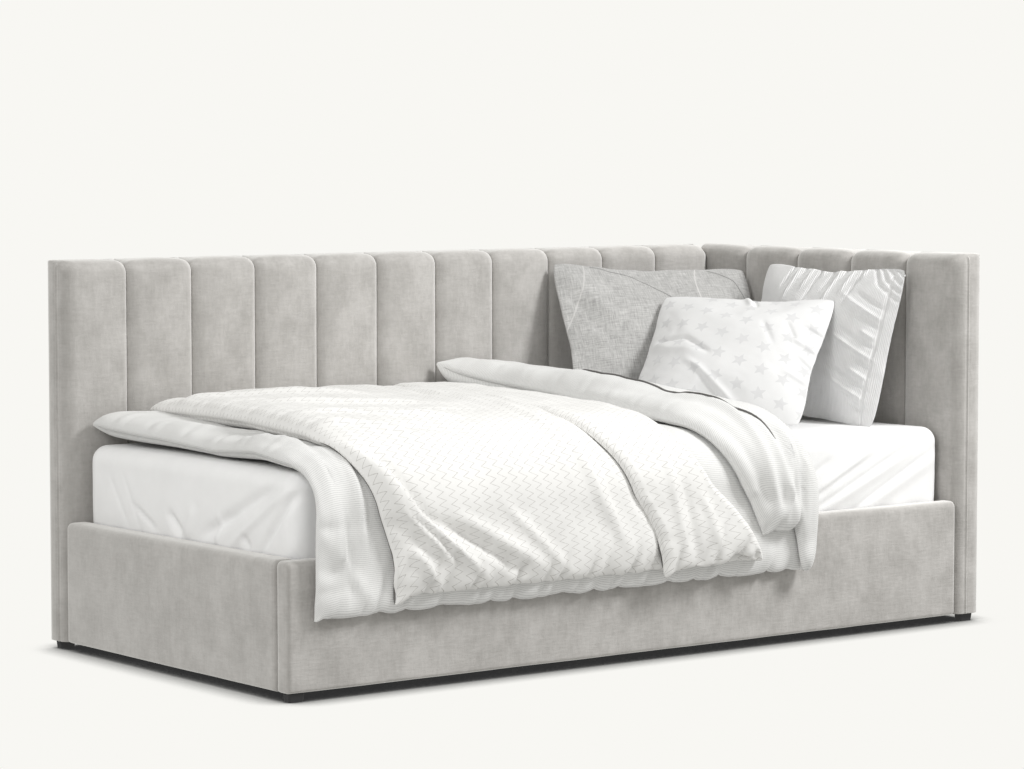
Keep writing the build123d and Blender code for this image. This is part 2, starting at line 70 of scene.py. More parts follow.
def aim(thing, ahead):
    """Turn a camera or a lamp to look along a direction."""
    thing.rotation_mode = "QUATERNION"
    thing.rotation_quaternion = ahead.to_track_quat("-Z", "Y")


# ---- camera ------------------------------------------------------------------------------------
camera_turn = math.radians(52.6)
camera_dip = math.radians(4.235)
camera_data = bpy.data.cameras.new("camera")
camera_data.sensor_width = 36
camera_data.lens = 118.2
camera_data.clip_end = 100
camera = put("camera", camera_data)
camera.location = at(-4.064, -6.129, 1.251)
ahead = Vector((
    math.cos(camera_dip) * math.cos(camera_turn),
    math.cos(camera_dip) * math.sin(camera_turn),
    -math.sin(camera_dip),
))
aim(camera, ahead)
bpy.context.scene.camera = camera
bpy.context.scene.view_settings.view_transform = "Standard"

# ---- materials ---------------------------------------------------------------------------------
looks = {}


def tint(red, green, blue):
    return (red, green, blue, 1.0)


class Value:
    """A shader value of one material: arithmetic with it adds math nodes there."""

    def __init__(self, look, socket):
        self.look = look
        self.socket = socket

    def __add__(self, other):
        return self.look.math("ADD", self, other)

    def __sub__(self, other):
        return self.look.math("SUBTRACT", self, other)

    def __mul__(self, other):
        return self.look.math("MULTIPLY", self, other)

    def __truediv__(self, other):
        return self.look.math("DIVIDE", self, other)

    def __mod__(self, other):
        return self.look.math("MODULO", self, other)

    def __pow__(self, other):
        return self.look.math("POWER", self, other)

    def __abs__(self):
        return self.look.math("ABSOLUTE", self)


class Look:
    """One procedural material: a Principled shader and the nodes that feed it."""

    def __init__(self, name, **sockets):
        self.material = bpy.data.materials.new(name)
        self.material.use_nodes = True
        self.tree = self.material.node_tree
        self.shader = self.tree.nodes["Principled BSDF"]
        for socket, value in sockets.items():
            self.shader.inputs[socket.replace("_", " ")].default_value = value
        self.height = None
        looks[name] = self.material

    def add(self, kind, inputs, output=0, **settings):
        """A new node, as the value of one of its outputs."""
        node = self.tree.nodes.new(kind)
        for key, value in settings.items():
            setattr(node, key, value)
        for key, value in inputs.items():
            self.feed(node.inputs[key], value)
        return Value(self, node.outputs[output])

    def feed(self, socket, value):
        if isinstance(value, Value):
            self.tree.links.new(value.socket, socket)
        else:
            socket.default_value = value

    def math(self, operation, first, second=0.0, third=0.0):
        return self.add("ShaderNodeMath", {0: first, 1: second, 2: third}, operation=operation)

    def mapped(self, coords, stretch, turn):
        inputs = {"Vector": coords, "Scale": stretch, "Rotation": turn}
        return self.add("ShaderNodeMapping", inputs, "Vector")

    def place(self, stretch=(1, 1, 1), turn=(0, 0, 0)):
        """Object coordinates in metres, stretched and turned."""
        return self.mapped(self.add("ShaderNodeTexCoord", {}, "Object"), stretch, turn)

    def cloth_uv(self, stretch=(1, 1, 1), turn=(0, 0, 0)):
        """Coordinates along and across the cloth, in metres."""
        return self.mapped(self.add("ShaderNodeUVMap", {}, "UV", uv_map="cloth"), stretch, turn)

    def split(self, vector):
        """The first two coordinates of a vector."""
        node = self.tree.nodes.new("ShaderNodeSeparateXYZ")
        self.feed(node.inputs["Vector"], vector)
        return Value(self, node.outputs[0]), Value(self, node.outputs[1])

    def noise(self, vector, scale, detail=3.0, rough=0.5):
        inputs = {"Vector": vector, "Scale": scale, "Detail": detail, "Roughness": rough}
        return self.add("ShaderNodeTexNoise", inputs, "Fac")

    def span(self, value, low, high, to_low=0.0, to_high=1.0):
        """A value from low to high, spread over another span and held at its ends."""
        return self.add("ShaderNodeMapRange", {0: value, 1: low, 2: high, 3: to_low, 4: to_high})

    def blend(self, share, first, second):
        """A colour between two others."""
        inputs = {"Factor": share, 6: first, 7: second}
        return self.add("ShaderNodeMix", inputs, 2, data_type="RGBA")

    def patchy(self, tone, low, high):
        """A colour that varies softly from low to high with a noise."""
        return self.blend(self.span(tone, 0.3, 0.7), tint(*low), tint(*high))

    def mottled(self, scale, low, high):
        """A printed cloth's ground, in soft patches."""
        return self.patchy(self.noise(self.cloth_uv(), scale, 4.0), low, high)

    def colour(self, value):
        self.feed(self.shader.inputs["Base Color"], value)

    def rough(self, value):
        self.feed(self.shader.inputs["Roughness"], value)

    def bump(self, height, distance, strength=1.0):
        inputs = {"Height": height, "Distance": distance, "Strength": strength}
        if self.height is not None:
            inputs["Normal"] = self.height
        self.height = self.add("ShaderNodeBump", inputs, "Normal")
        self.feed(self.shader.inputs["Normal"], self.height)

    def slubs(self, scale, strength):
        """The fine unevenness of cotton."""
        self.bump(self.noise(self.cloth_uv(), scale, 3.0), 0.0008, strength)


def weave_height(look, vector, threads):
    """Crossed threads, as a height from -1 to 1."""
    across, along = look.split(vector)
    beat = threads * math.tau
    return look.math("SINE", across * beat) * look.math("SINE", along * beat)


def velvet(name):
    """Short-pile velvet: a brushed, mottled nap, and the shader's own pale sheen; the colour also holds
    painted light, a painted shade where the surface faces the view and a painted sheen where it turns away.
    """
    pale = tint(0.93, 0.92, 0.90)
    look = Look(
        name, Roughness=0.9, Specular_IOR_Level=0.18,
        Sheen_Weight=0.4, Sheen_Roughness=0.30, Sheen_Tint=pale,
    )
    patches = look.noise(look.place((1.0, 1.0, 0.8)), 12.0, 6.0, 0.66)
    level = look.noise(look.place((0.35, 0.35, 1.7)), 105.0, 5.0, 0.65)
    upright = look.noise(look.place((1.5, 1.5, 0.4)), 80.0, 5.0, 0.65)
    brushed = look.span(level, 0.34, 0.66) + look.span(upright, 0.34, 0.66)
    nap = look.span(patches, 0.36, 0.64) + brushed * 0.45
    share = look.span(nap, 0.25, 1.65)
    ground = look.blend(share, tint(0.385, 0.372, 0.355), tint(0.515, 0.500, 0.482))
    turned = look.add("ShaderNodeLayerWeight", {"Blend": 0.5}, "Facing")
    # Painted shade: the colour darkens towards a deep grey where the surface faces the view.
    deep = look.span(turned, 0.0, 0.2, 0.35, 0.0)
    ground = look.blend(deep, ground, tint(0.25, 0.24, 0.225))
    # Painted sheen: a pale rim blended into the colour where the surface turns away from the view.
    rim = look.span(turned, 0.34, 1.0) ** 1.4
    look.colour(look.blend(rim, ground, pale))
    look.rough(look.span(share, 0.0, 1.0, 0.80, 0.93))
    look.bump(brushed, 0.0010, 0.35)
    look.bump(look.noise(look.place(), 900.0, 2.0), 0.0006, 0.35)


def cloth(name, rough, sheen, gloss=0.2):
    """The matt shader of a woven cloth."""
    return Look(name, Roughness=rough, Sheen_Weight=sheen, Sheen_Roughness=0.5, Specular_IOR_Level=gloss)


def plain_cloth(name, low, high, threads=900, depth=0.0003, sheen=0.15):
    """Plain woven cloth with a soft variation in tone."""
    look = cloth(name, 0.88, sheen)
    look.colour(look.patchy(look.noise(look.place(), 14.0, 5.0, 0.6), low, high))
    look.bump(look.noise(look.place(), 260.0, 3.0), 0.0006, 0.25)
    look.bump(weave_height(look, look.place(turn=(0.4, 0.5, 0.6)), threads), depth, 0.3)


def pinstripe_cloth(name):
    """Off-white cotton with fine grey stripes across the bed."""
    pitch = 0.0044
    look = cloth(name, 0.85, 0.12)
    across = look.split(look.cloth_uv())[1]
    wander = look.noise(look.cloth_uv(), 60.0, 2.0) * 0.0012
    lane = look.math("FRACT", (across + wander) / pitch)
    line = look.span(abs(lane - 0.5), 0.10, 0.26, 1.0, 0.0)
    worn = look.noise(look.cloth_uv((1.0, 0.4, 1.0)), 420.0, 2.0)
    share = line * look.span(worn, 0.3, 0.65, 0.55, 1.0) * 0.50
    ground = look.mottled(9.0, (0.75, 0.75, 0.74), (0.82, 0.82, 0.81))
    look.colour(look.blend(share, ground, tint(0.40, 0.40, 0.395)))
    look.bump(line, 0.0004, 0.4)
    look.slubs(180.0, 0.3)


def zigzag_cloth(name):
    """White cotton with thin taupe zigzag lines, column beside column."""
    period = 0.0180
    swing = 0.0210
    pitch = 0.031
    look = cloth(name, 0.85, 0.12)
    x, y = look.split(look.cloth_uv())
    wobble = (look.noise(look.cloth_uv(), 30.0, 2.0) - 0.5) * 0.006
    skewed = look.math("PINGPONG", look.math("FRACT", y / period) * 2.0, 1.0)
    lane = look.math("FRACT", (x + skewed * swing + wobble) / pitch)
    line = look.span(abs(lane - 0.5), 0.026, 0.064, 1.0, 0.0)
    worn = look.noise(look.cloth_uv(), 240.0, 2.0)
    share = line * look.span(worn, 0.34, 0.6, 0.45, 1.0) * 0.62
    ground = look.mottled(8.0, (0.79, 0.785, 0.77), (0.84, 0.835, 0.82))
    look.colour(look.blend(share, ground, tint(0.30, 0.285, 0.26)))
    look.bump(line, 0.0006, -0.5)
    look.slubs(150.0, 0.25)


# centre x, centre y, radius, the x that it starts from, the side that it runs to, and its tone
linen_seams = [
    (-0.20, -0.06, 0.287, -0.19, 1, tint(0.15, 0.15, 0.145)),
    (0.10, 0.05, 0.190, 0.17, 1, tint(0.15, 0.15, 0.145)),
    (0.40, 0.12, 0.285, 0.35, -1, tint(0.62, 0.61, 0.60)),
    (-0.62, 0.30, 0.420, -0.50, 1, tint(0.56, 0.55, 0.54)),
]


def linen_cloth(name):
    """Coarse mid-grey linen: slubby crossed threads, and curved patchwork seams."""
    look = cloth(name, 0.9, 0.2, 0.15)
    across = look.noise(look.cloth_uv((1.0, 0.08, 1.0)), 330.0, 3.0, 0.7)
    along = look.noise(look.cloth_uv((0.08, 1.0, 1.0)), 330.0, 3.0, 0.7)
    threads = across + along
    patches = look.noise(look.cloth_uv(), 12.0, 5.0, 0.65)
    share = look.span(threads, 0.75, 1.25, 0.0, 0.75) + look.span(patches, 0.3, 0.7, 0.0, 0.25)
    ground = look.blend(share, tint(0.26, 0.258, 0.252), tint(0.57, 0.565, 0.555))
    x = look.split(look.cloth_uv())[0]
    seams = 0.0
    for centre_x, centre_y, radius, from_x, side, tone in linen_seams:
        shift = (-centre_x, -centre_y, 0.0)
        moved = look.add("ShaderNodeVectorMath", {0: look.cloth_uv(), 1: shift}, operation="ADD")
        reach = look.add("ShaderNodeVectorMath", {0: moved}, "Value", operation="LENGTH")
        ring = look.span(abs(reach - radius), 0.0010, 0.0032, 1.0, 0.0)
        ring = ring * look.span((x - from_x) * side, 0.0, 0.004)
        ground = look.blend(ring * 0.7, ground, tone)
        seams = look.math("MAXIMUM", seams, ring)
    look.colour(ground)
    look.bump(threads, 0.0012, 0.6)
    look.bump(seams, 0.0020, -0.7)


def star_cloth(name):
    """White cotton printed with pale grey five-pointed stars in offset rows."""
    pitch = 0.066
    slant = 0.35
    tip = 0.33
    inner = 0.150
    blur = 0.0012
    look = cloth(name, 0.8, 0.1, 0.22)
    x, y = look.split(look.cloth_uv((1 / pitch, 1 / pitch, 1.0), (0, 0, slant)))
    row = look.math("FLOOR", y)
    shifted = x + row % 2.0 * 0.5
    seed = look.add("ShaderNodeCombineXYZ", {0: look.math("FLOOR", shifted), 1: row})
    spin = look.add("ShaderNodeTexWhiteNoise", {"Vector": seed}, "Value") * 1.2
    local_x = look.math("FRACT", shifted) - 0.5
    local_y = look.math("FRACT", y) - 0.5
    reach = look.math("SQRT", local_x * local_x + local_y * local_y)
    angle = look.math("ARCTAN2", local_y, local_x) + (spin + 10 * math.tau)
    wedge = math.tau / 5
    folded = abs(angle % wedge - wedge / 2)
    edge_x = inner * math.cos(wedge / 2) - tip
    edge_y = inner * math.sin(wedge / 2)
    level = reach * look.math("COSINE", folded) * edge_y - reach * look.math("SINE", folded) * edge_x
    star = look.span(level, edge_y * tip - blur, edge_y * tip + blur, 1.0, 0.0)
    fade = look.span(look.noise(look.cloth_uv(), 40.0, 3.0), 0.3, 0.7, 0.55, 0.85)
    ground = look.mottled(8.0, (0.68, 0.68, 0.68), (0.74, 0.74, 0.74))
    look.colour(look.blend(star * fade, ground, tint(0.60, 0.60, 0.605)))
    look.slubs(160.0, 0.3)


def ribbed_cloth(name):
    """Pale grey cotton with fine ribs from top to bottom."""
    pitch = 0.0052
    look = cloth(name, 0.85, 0.15)
    x = look.split(look.cloth_uv())[0]
    wander = look.noise(look.cloth_uv((1.0, 0.3, 1.0)), 18.0, 2.0) * 0.010
    wave = look.math("SINE", (x + wander) * (math.tau / pitch))
    ground = look.mottled(10.0, (0.74, 0.74, 0.74), (0.83, 0.83, 0.83))
    # Painted highlight and shade: the colour is lighter on each rib's crest and darker in its hollows.
    look.colour(look.blend(look.span(wave, -1.0, 1.0, 0.0, 0.55), ground, tint(0.90, 0.90, 0.90)))
    look.bump(wave, 0.0012, 0.55)
    look.slubs(160.0, 0.3)


def wood(name, low, high, stretch, gloss=0.5):
    """Wood or board with grain drawn out along one direction."""
    look = Look(name, Roughness=gloss)
    grain = look.noise(look.place(stretch), 30.0, 6.0, 0.65)
    rings = look.noise(look.place(stretch), 7.0, 3.0, 0.5)
    share = look.span(grain, 0.3, 0.7, 0.0, 0.6) + look.span(rings, 0.3, 0.7, 0.0, 0.4)
    look.colour(look.blend(share, tint(*low), tint(*high)))
    look.rough(look.span(grain, 0.3, 0.7, gloss - 0.1, gloss + 0.15))
    look.bump(grain, 0.0006, 0.4)


def metal(name, colour, roughness, metallic=1.0, grit=400.0):
    """Steel: plated, chromed or powder coated, with a fine uneven surface."""
    look = Look(name, Metallic=metallic, Roughness=roughness)
    scuffs = look.noise(look.place(), 22.0, 4.0, 0.6)
    darker = [0.82 * part for part in colour]
    look.colour(look.blend(look.span(scuffs, 0.35, 0.65), tint(*darker), tint(*colour)))
    look.rough(look.span(scuffs, 0.3, 0.7, roughness - 0.06, roughness + 0.10))
    look.bump(look.noise(look.place(), grit, 3.0), 0.0003, 0.3)


def moulded(name, colour, roughness=0.55):
    """Moulded plastic or rubber with a fine spark-eroded grain."""
    look = Look(name, Roughness=roughness)
    tone = look.noise(look.place(), 60.0, 3.0)
    look.colour(look.patchy(tone, colour, [1.35 * part for part in colour]))
    look.rough(look.span(tone, 0.3, 0.7, roughness - 0.05, roughness + 0.1))
    look.bump(look.noise(look.place(), 1200.0, 2.0), 0.0002, 0.4)


velvet("velvet")
plain_cloth("lining_cloth", (0.36, 0.35, 0.335), (0.42, 0.41, 0.395))
wood("frame_board", (0.50, 0.37, 0.23), (0.66, 0.52, 0.35), (6.0, 6.0, 6.0), 0.75)
wood("beech", (0.60, 0.43, 0.27), (0.74, 0.57, 0.38), (9.0, 0.6, 9.0), 0.42)
wood("floor_panel", (0.70, 0.68, 0.64), (0.78, 0.76, 0.73), (0.7, 6.0, 6.0), 0.5)
metal("black_steel", (0.035, 0.035, 0.037), 0.5, 0.0, 900.0)
metal("zinc_steel", (0.68, 0.69, 0.70), 0.34)
metal("rod_chrome", (0.78, 0.78, 0.79), 0.12)
moulded("foot_plastic", (0.018, 0.018, 0.019))
moulded("holder_plastic", (0.035, 0.035, 0.037))
moulded("bumper_rubber", (0.025, 0.025, 0.025), 0.8)
plain_cloth("mattress_cloth", (0.72, 0.71, 0.69), (0.80, 0.79, 0.77), 420, 0.0008)
plain_cloth("sheet_cotton", (0.88, 0.88, 0.88), (0.92, 0.92, 0.92), 1500, 0.0001, 0.05)
pinstripe_cloth("pinstripe_cotton")
zigzag_cloth("zigzag_cotton")
linen_cloth("grey_linen")
star_cloth("star_cotton")
ribbed_cloth("ribbed_cotton")
plain_cloth("seam_cotton", (0.52, 0.52, 0.51), (0.60, 0.60, 0.59), 900, 0.0002)
# The next cloth is near black, for the cords that paint shadow lines in the gaps along the covers' edges.
plain_cloth("gap_shadow_cord", (0.10, 0.095, 0.09), (0.15, 0.145, 0.14), 900, 0.0002)

for row in frame["record"]["subparts"]:
    shown = frame["nodes"].get(row["node"])
    if shown is not None:
        shown.data.materials.clear()
        shown.data.materials.append(looks[row["material_slot"]])


# ---- mesh helpers ------------------------------------------------------------------------------
def build(name, points, faces, slot_name, body, uv=None, look=None):
    """A smooth mesh object from an array of points and a list of faces, with its material and body; the
    material is the slot's own unless another look is given.
    """
    mesh = bpy.data.meshes.new(name)
    mesh.from_pydata(points.tolist(), [], faces)
    if uv is not None:
        layer = mesh.uv_layers.new(name="cloth")
        corners = np.empty(len(mesh.loops), dtype=np.int32)
        mesh.loops.foreach_get("vertex_index", corners)
        layer.data.foreach_set("uv", uv[corners].astype(np.float32).ravel())
    mesh.polygons.foreach_set("use_smooth", np.ones(len(mesh.polygons), dtype=bool))
    mesh.materials.append(looks[look or slot_name])
    mesh.update()
    piece = put(name, mesh)
    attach(piece, body)
    return piece


def points_of(piece):
    """The places of a piece's points."""
    return np.array([tuple(vertex.co) for vertex in piece.data.vertices])


def move_points(piece, points):
    piece.data.vertices.foreach_set("co", points.ravel())
    piece.data.update()


def grid(rows, columns, start=0):
    """The numbers of a grid of points stored row by row."""
    return np.arange(rows * columns).reshape(rows, columns) + start


def quads(index):
    """The quads between the points of a grid."""
    corners = [index[:-1, :-1], index[1:, :-1], index[1:, 1:], index[:-1, 1:]]
    return np.stack(corners, axis=-1).reshape(-1, 4)


def closed(index):
    """A grid of point numbers whose last column joins its first."""
    return np.concatenate([index, index[:, :1]], axis=1)


def unit(vectors):
    """Vectors of length one in the same directions."""
    return vectors / np.maximum(np.linalg.norm(vectors, axis=-1, keepdims=True), 1e-9)


def smooth(value, low, high):
    """0 below low, 1 above high, with an eased rise between them."""
    share = np.clip((value - low) / (high - low), 0.0, 1.0)
    return share * share * (3 - 2 * share)


def bell(value, width):
    """1 at zero, falling away to each side."""
    return np.exp(-((value / width) ** 2))


def waves(x, y, seed, scale, octaves=4):
    """Soft repeatable unevenness from -1 to 1: sine waves in seeded directions."""
    chance = np.random.default_rng(seed)
    total = np.zeros(np.broadcast(x, y).shape)
    for number in range(octaves * 3):
        octave = 1 + number // 3
        turn = chance.uniform(0, math.tau)
        pace = scale * chance.uniform(0.6, 1.8) * octave
        beat = (x * math.cos(turn) + y * math.sin(turn)) * pace
        total = total + np.sin(beat + chance.uniform(0, 6.28)) / octave
    return total / 4.5


def ridge(x, y, start, end, width, height):
    """A soft crease between two points that fades at its ends."""
    along = np.array(end, dtype=float) - np.array(start, dtype=float)
    reach = np.linalg.norm(along)
    along /= reach
    run = (x - start[0]) * along[0] + (y - start[1]) * along[1]
    off = -(x - start[0]) * along[1] + (y - start[1]) * along[0]
    fade = smooth(run, -0.25 * reach, 0.25 * reach) * (1 - smooth(run, 0.75 * reach, 1.25 * reach))
    return height * fade * bell(off, width)


def ridges(x, y, rows, share=1.0):
    """Several creases together; share scales their widths."""
    return sum(ridge(x, y, start, end, share * wide, tall) for start, end, wide, tall in rows)


def dense_ends(length, step, edge=0.05):
    """Places from 0 to length, closer together towards the two ends."""
    close = edge * np.array([0, 0.03, 0.08, 0.16, 0.27, 0.41, 0.58, 0.78, 1.0])
    middle = np.linspace(edge, length - edge, max(3, int((length - 2 * edge) / step)))
    return np.unique(np.concatenate([close, middle, length - close]))


# ---- upholstered blocks ------------------------------------------------------------------------
def rounded_block(name, lists, rounds, shape, slot_name, depth=None):
    """A padded block over three lists of coordinates. rounds gives each side's rounding radius as
    ((x low, x high), (y low, y high), (z low, z high)); shape moves points along their normals.
    Along the depth axis, if one is given, the other two axes' rounding tightens towards the back."""
    points = []
    faces = []
    count = 0
    for axis in range(3):
        one = (axis + 1) % 3
        other = (axis + 2) % 3
        first, second = np.meshgrid(lists[one], lists[other], indexing="ij")
        for end in (0, -1):
            side = np.empty(first.shape + (3,))
            side[..., axis] = lists[axis][end]
            side[..., one] = first
            side[..., other] = second
            face = quads(grid(*first.shape, count))
            faces.append(face if end == 0 else face[:, ::-1])
            points.append(side.reshape(-1, 3))
            count += first.size
    points = np.concatenate(points)
    faces = np.concatenate(faces)
    points, home = np.unique(np.round(points, 6), axis=0, return_inverse=True)
    faces = home.reshape(-1)[faces]
    lows = np.array([values[0] for values in lists])
    highs = np.array([values[-1] for values in lists])
    low_rounds = np.array([pair[0] for pair in rounds]) * np.ones_like(points)
    high_rounds = np.array([pair[1] for pair in rounds]) * np.ones_like(points)
    if depth is not None:
        share = smooth(points[:, depth], lows[depth], highs[depth])[:, None]
        tighter = np.where(np.arange(3) == depth, 1.0, 1 - 0.84 * share)
        low_rounds = low_rounds * tighter
        high_rounds = high_rounds * tighter
    inner = np.clip(points, lows + low_rounds, highs - high_rounds)
    offset = points - inner
    radius = np.maximum(np.where(offset < 0, low_rounds, high_rounds), 1e-6)
    scaled = offset / radius
    length = np.maximum(np.linalg.norm(scaled, axis=1, keepdims=True), 1e-9)
    reach = np.max(np.abs(scaled), axis=1, keepdims=True)
    moved = inner + radius * scaled / length * reach
    normal = unit(scaled / radius)
    moved = moved + normal * shape(moved, normal)[:, None]
    return build(name, moved, faces.tolist(), slot_name, "base")


def seam_dip(place, start, pitch):
    """How far a channelled surface lies behind its crests: a quarter-round shoulder to each seam."""
    share = np.mod((place - start) / pitch, 1.0)
    near = np.minimum(share, 1 - share)
    shoulder = 1 - np.clip(near * pitch / channel_shoulder, 0, 1)
    crown = (1 - near * 2) ** 2 * channel_crown
    return channel_depth * (1 - np.sqrt(np.clip(1 - shoulder**2, 0, 1))) + crown


def groove(place, centre, depth, width):
    """A narrow sewn line."""
    return depth * bell(place - centre, width)


def welt(place, centre):
    """A thin raised seam with a sunken line on each side of it."""
    beside = groove(place, centre - 0.005, 0.0016, 0.003) + groove(place, centre + 0.005, 0.0016, 0.003)
    return groove(place, centre, 0.0022, 0.0020) - beside


def near_seams(start, end, seams, extra):
    """Coordinates from start to end with extra ones beside each seam, and any others asked for."""
    beside = np.array([0, 0.0008, 0.002, 0.004, 0.007, 0.011, 0.016, 0.022, 0.030, 0.042, 0.060])
    places = [np.array([start, end]), extra, np.linspace(start, end, int((end - start) / 0.02))]
    for seam in seams:
        places += [seam + beside, seam - beside]
    every = np.unique(np.round(np.concatenate(places), 5))
    every = every[(every >= start) & (every <= end)]
    keep = [every[0]]
    for place in every[1:]:
        if place - keep[-1] > 0.0006:
            keep.append(place)
    keep[-1] = end
    return np.array(keep)


def rounded_ends(low, high, radius, step=0.02):
    """Coordinates from low to high with extra ones over the rounded edges."""
    arc = radius * (1 - np.cos(np.linspace(0, math.pi / 2, 7)))
    middle = np.linspace(low + radius, high - radius, max(2, int((high - low - 2 * radius) / step)))
    return np.unique(np.round(np.concatenate([low + arc, middle, high - arc]), 5))


channel_depth = 0.015
channel_shoulder = 0.032
channel_crown = 0.005
panel_round = 0.036
back_round = 0.006
cap_seam = 0.037
lining_inset = 0.009
lining_gap = 0.0008


def make_panel(name, node, run, channels, seed, both_ends):
    """A panel with upright channels side by side along its run axis. Its first channel is flat and
    has a sewn cap round its end; the last one is flat and rounded too where both ends show."""
    deep = 1 - run
    low, high = (Vector(value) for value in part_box(node))
    pitch = (high[run] - low[run]) / channels
    seams = [low[run] + pitch * number for number in range(1, channels)]
    arc = panel_round * (1 - np.cos(np.linspace(0, 1.57, 7)))
    ends = [low[run] + arc, high[run] - arc] if both_ends else [low[run] + arc]
    lists = [None, None, rounded_ends(low.z, high.z, panel_round)]
    lists[run] = near_seams(low[run], high[run], seams, np.concatenate(ends))
    lists[deep] = near_seams(low[deep], high[deep], [low[deep] + cap_seam], low[deep] + arc)
    rounds = [None, None, (0, panel_round)]
    rounds[run] = (panel_round, panel_round if both_ends else 0)
    rounds[deep] = (panel_round, back_round)

    def shape(points, normal):
        place = points[:, run]
        flat = place < low[run] + pitch / 2
        if both_ends:
            flat = flat | (place > high[run] - pitch / 2)
        dip = np.where(flat, 0.0, seam_dip(place, low[run], pitch))
        facing = smooth(-normal[:, deep] + normal[:, 2], 0.0, 0.5)
        front = smooth(-normal[:, deep], 0.0, 0.6)
        soft = 0.0012 * waves(place, points[:, 2] * 0.6, seed, 9.0) * front
        proud = lining_gap * smooth(normal[:, deep], 0.8, 0.95)
        cap = smooth(-normal[:, run], 0.7, 0.95)
        return soft + proud - dip * facing + welt(points[:, deep], low[deep] + cap_seam) * cap

    panel = rounded_block(name, lists, rounds, shape, "velvet", depth=deep)
    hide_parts(node)


def make_lining(node, deep):
    """The thin cloth stapled over the back of a panel, inside the panel's turned edges."""
    low, high = (list(value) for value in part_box(node))
    for axis in {0, 1, 2} - {deep}:
        low[axis] += lining_inset
        high[axis] -= lining_inset
    lists = [np.linspace(low[axis], high[axis], 3 if axis == deep else 60) for axis in range(3)]

    def shape(points, normal):
        return 0.0004 * waves(points[:, 1 - deep], points[:, 2], 9, 14.0)

    lining = rounded_block(node + "_cloth", lists, ((0.0009, 0.0009),) * 3, shape, "lining_cloth")
    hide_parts(node)


rail_round = 0.016
seam_round = 0.012
under_round = 0.008


def make_rail(name, node, run, far_round, seed):
    """A low padded rail: rounded top edges and a face that swells slightly between its ends."""
    low, high = (Vector(value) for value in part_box(node))
    steps = [0.025 if axis == run else 0.012 for axis in range(3)]
    lists = [rounded_ends(low[axis], high[axis], rail_round, steps[axis]) for axis in range(3)]
    rounds = [None, None, (under_round, rail_round)]
    rounds[run] = (seam_round, seam_round)
    rounds[1 - run] = (rail_round, far_round)

    def shape(points, normal):
        place = points[:, run]
        z = points[:, 2]
        ends = smooth(place, low[run], low[run] + 0.1) * smooth(-place, -high[run], -high[run] + 0.1)
        upright = np.sin(np.clip((z - low.z) / (high.z - low.z), 0, 1) * math.pi)
        swell = 0.0022 * ends * upright * np.abs(normal[:, 1 - run])
        return swell + 0.0007 * waves(place, z, seed, 11.0)

    rail = rounded_block(name, lists, rounds, shape, "velvet")
    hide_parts(node)


make_panel("back_panel_upholstery", "back_panel_padding", 0, 11, 3, False)
make_panel("head_panel_upholstery", "head_panel_padding", 1, 5, 5, True)
make_lining("back_panel_lining", 1)
make_lining("head_panel_lining", 0)
make_rail("front_rail_upholstery", "front_rail_cover", 0, seam_round, 7)
make_rail("foot_rail_upholstery", "foot_rail_cover", 1, 0, 8)

# ---- bedding ------------------------------------------------------------------------------------
lie = sheet_high[2] + 0.0006
shoulder = 0.09
back_edge = 0.952
drop_line = -0.008
arc_start = back_edge - (drop_line + shoulder)
arc_end = arc_start + shoulder * math.pi / 2
drop_top = lie - shoulder
duvet_hem = 0.188
quilt_hem = 0.226
foot_round = 0.065
side_round = 0.055
crease_share = 1.5


def bed_path(run):
    """Points (y, z) and outward directions along the line that covers follow: over the mattress
    from the back, round its front shoulder and down in front of the rail."""
    turn = np.clip((run - arc_start) / shoulder, 0, math.pi / 2)
    flat = np.minimum(run, arc_start)
    fall = np.maximum(run - arc_end, 0)
    y = back_edge - flat - shoulder * np.sin(turn)
    z = lie - shoulder * (1 - np.cos(turn)) - fall
    return y, z, -np.sin(turn), np.cos(turn)


def along(run, table):
    """A value along the cover's width, eased between (run, value) pairs."""
    places, values = zip(*table)
    fine = np.linspace(places[0], places[-1], 400)
    kernel = np.hanning(33)
    padded = np.pad(np.interp(fine, places, values), 16, mode="edge")
    eased = np.convolve(padded, kernel / kernel.sum(), mode="valid")
    return np.interp(run, fine, eased)


def edge_share(distance, width):
    """A cover's share of its full thickness near a sewn edge: a round shoulder."""
    return np.sqrt(1 - (1 - np.clip(distance / width, 0, 1)) ** 2)


def gathers(place, gap, spacing, reach, amount, phase=0.0):
    """Short puckers that run in from a sewn edge: place is along the edge, gap away from it."""
    beat = place * math.tau / spacing + 1.3 * np.sin(place * 5.1 / spacing * 0.7 + phase) + phase
    fade = np.exp(-gap / reach) * (1 - np.exp(-gap / 0.008))
    return amount * fade * (np.abs(np.sin(beat / 2)) ** 1.4 * 2 - 1)


def lobes(place, spacing, depth):
    """The outline of a gathered hem: rounded lobes with narrow notches between them."""
    beat = place * math.pi / spacing + 0.8 * np.sin(place * 2.3 / spacing)
    return depth * (np.abs(np.sin(beat)) ** 0.5 - 0.75)


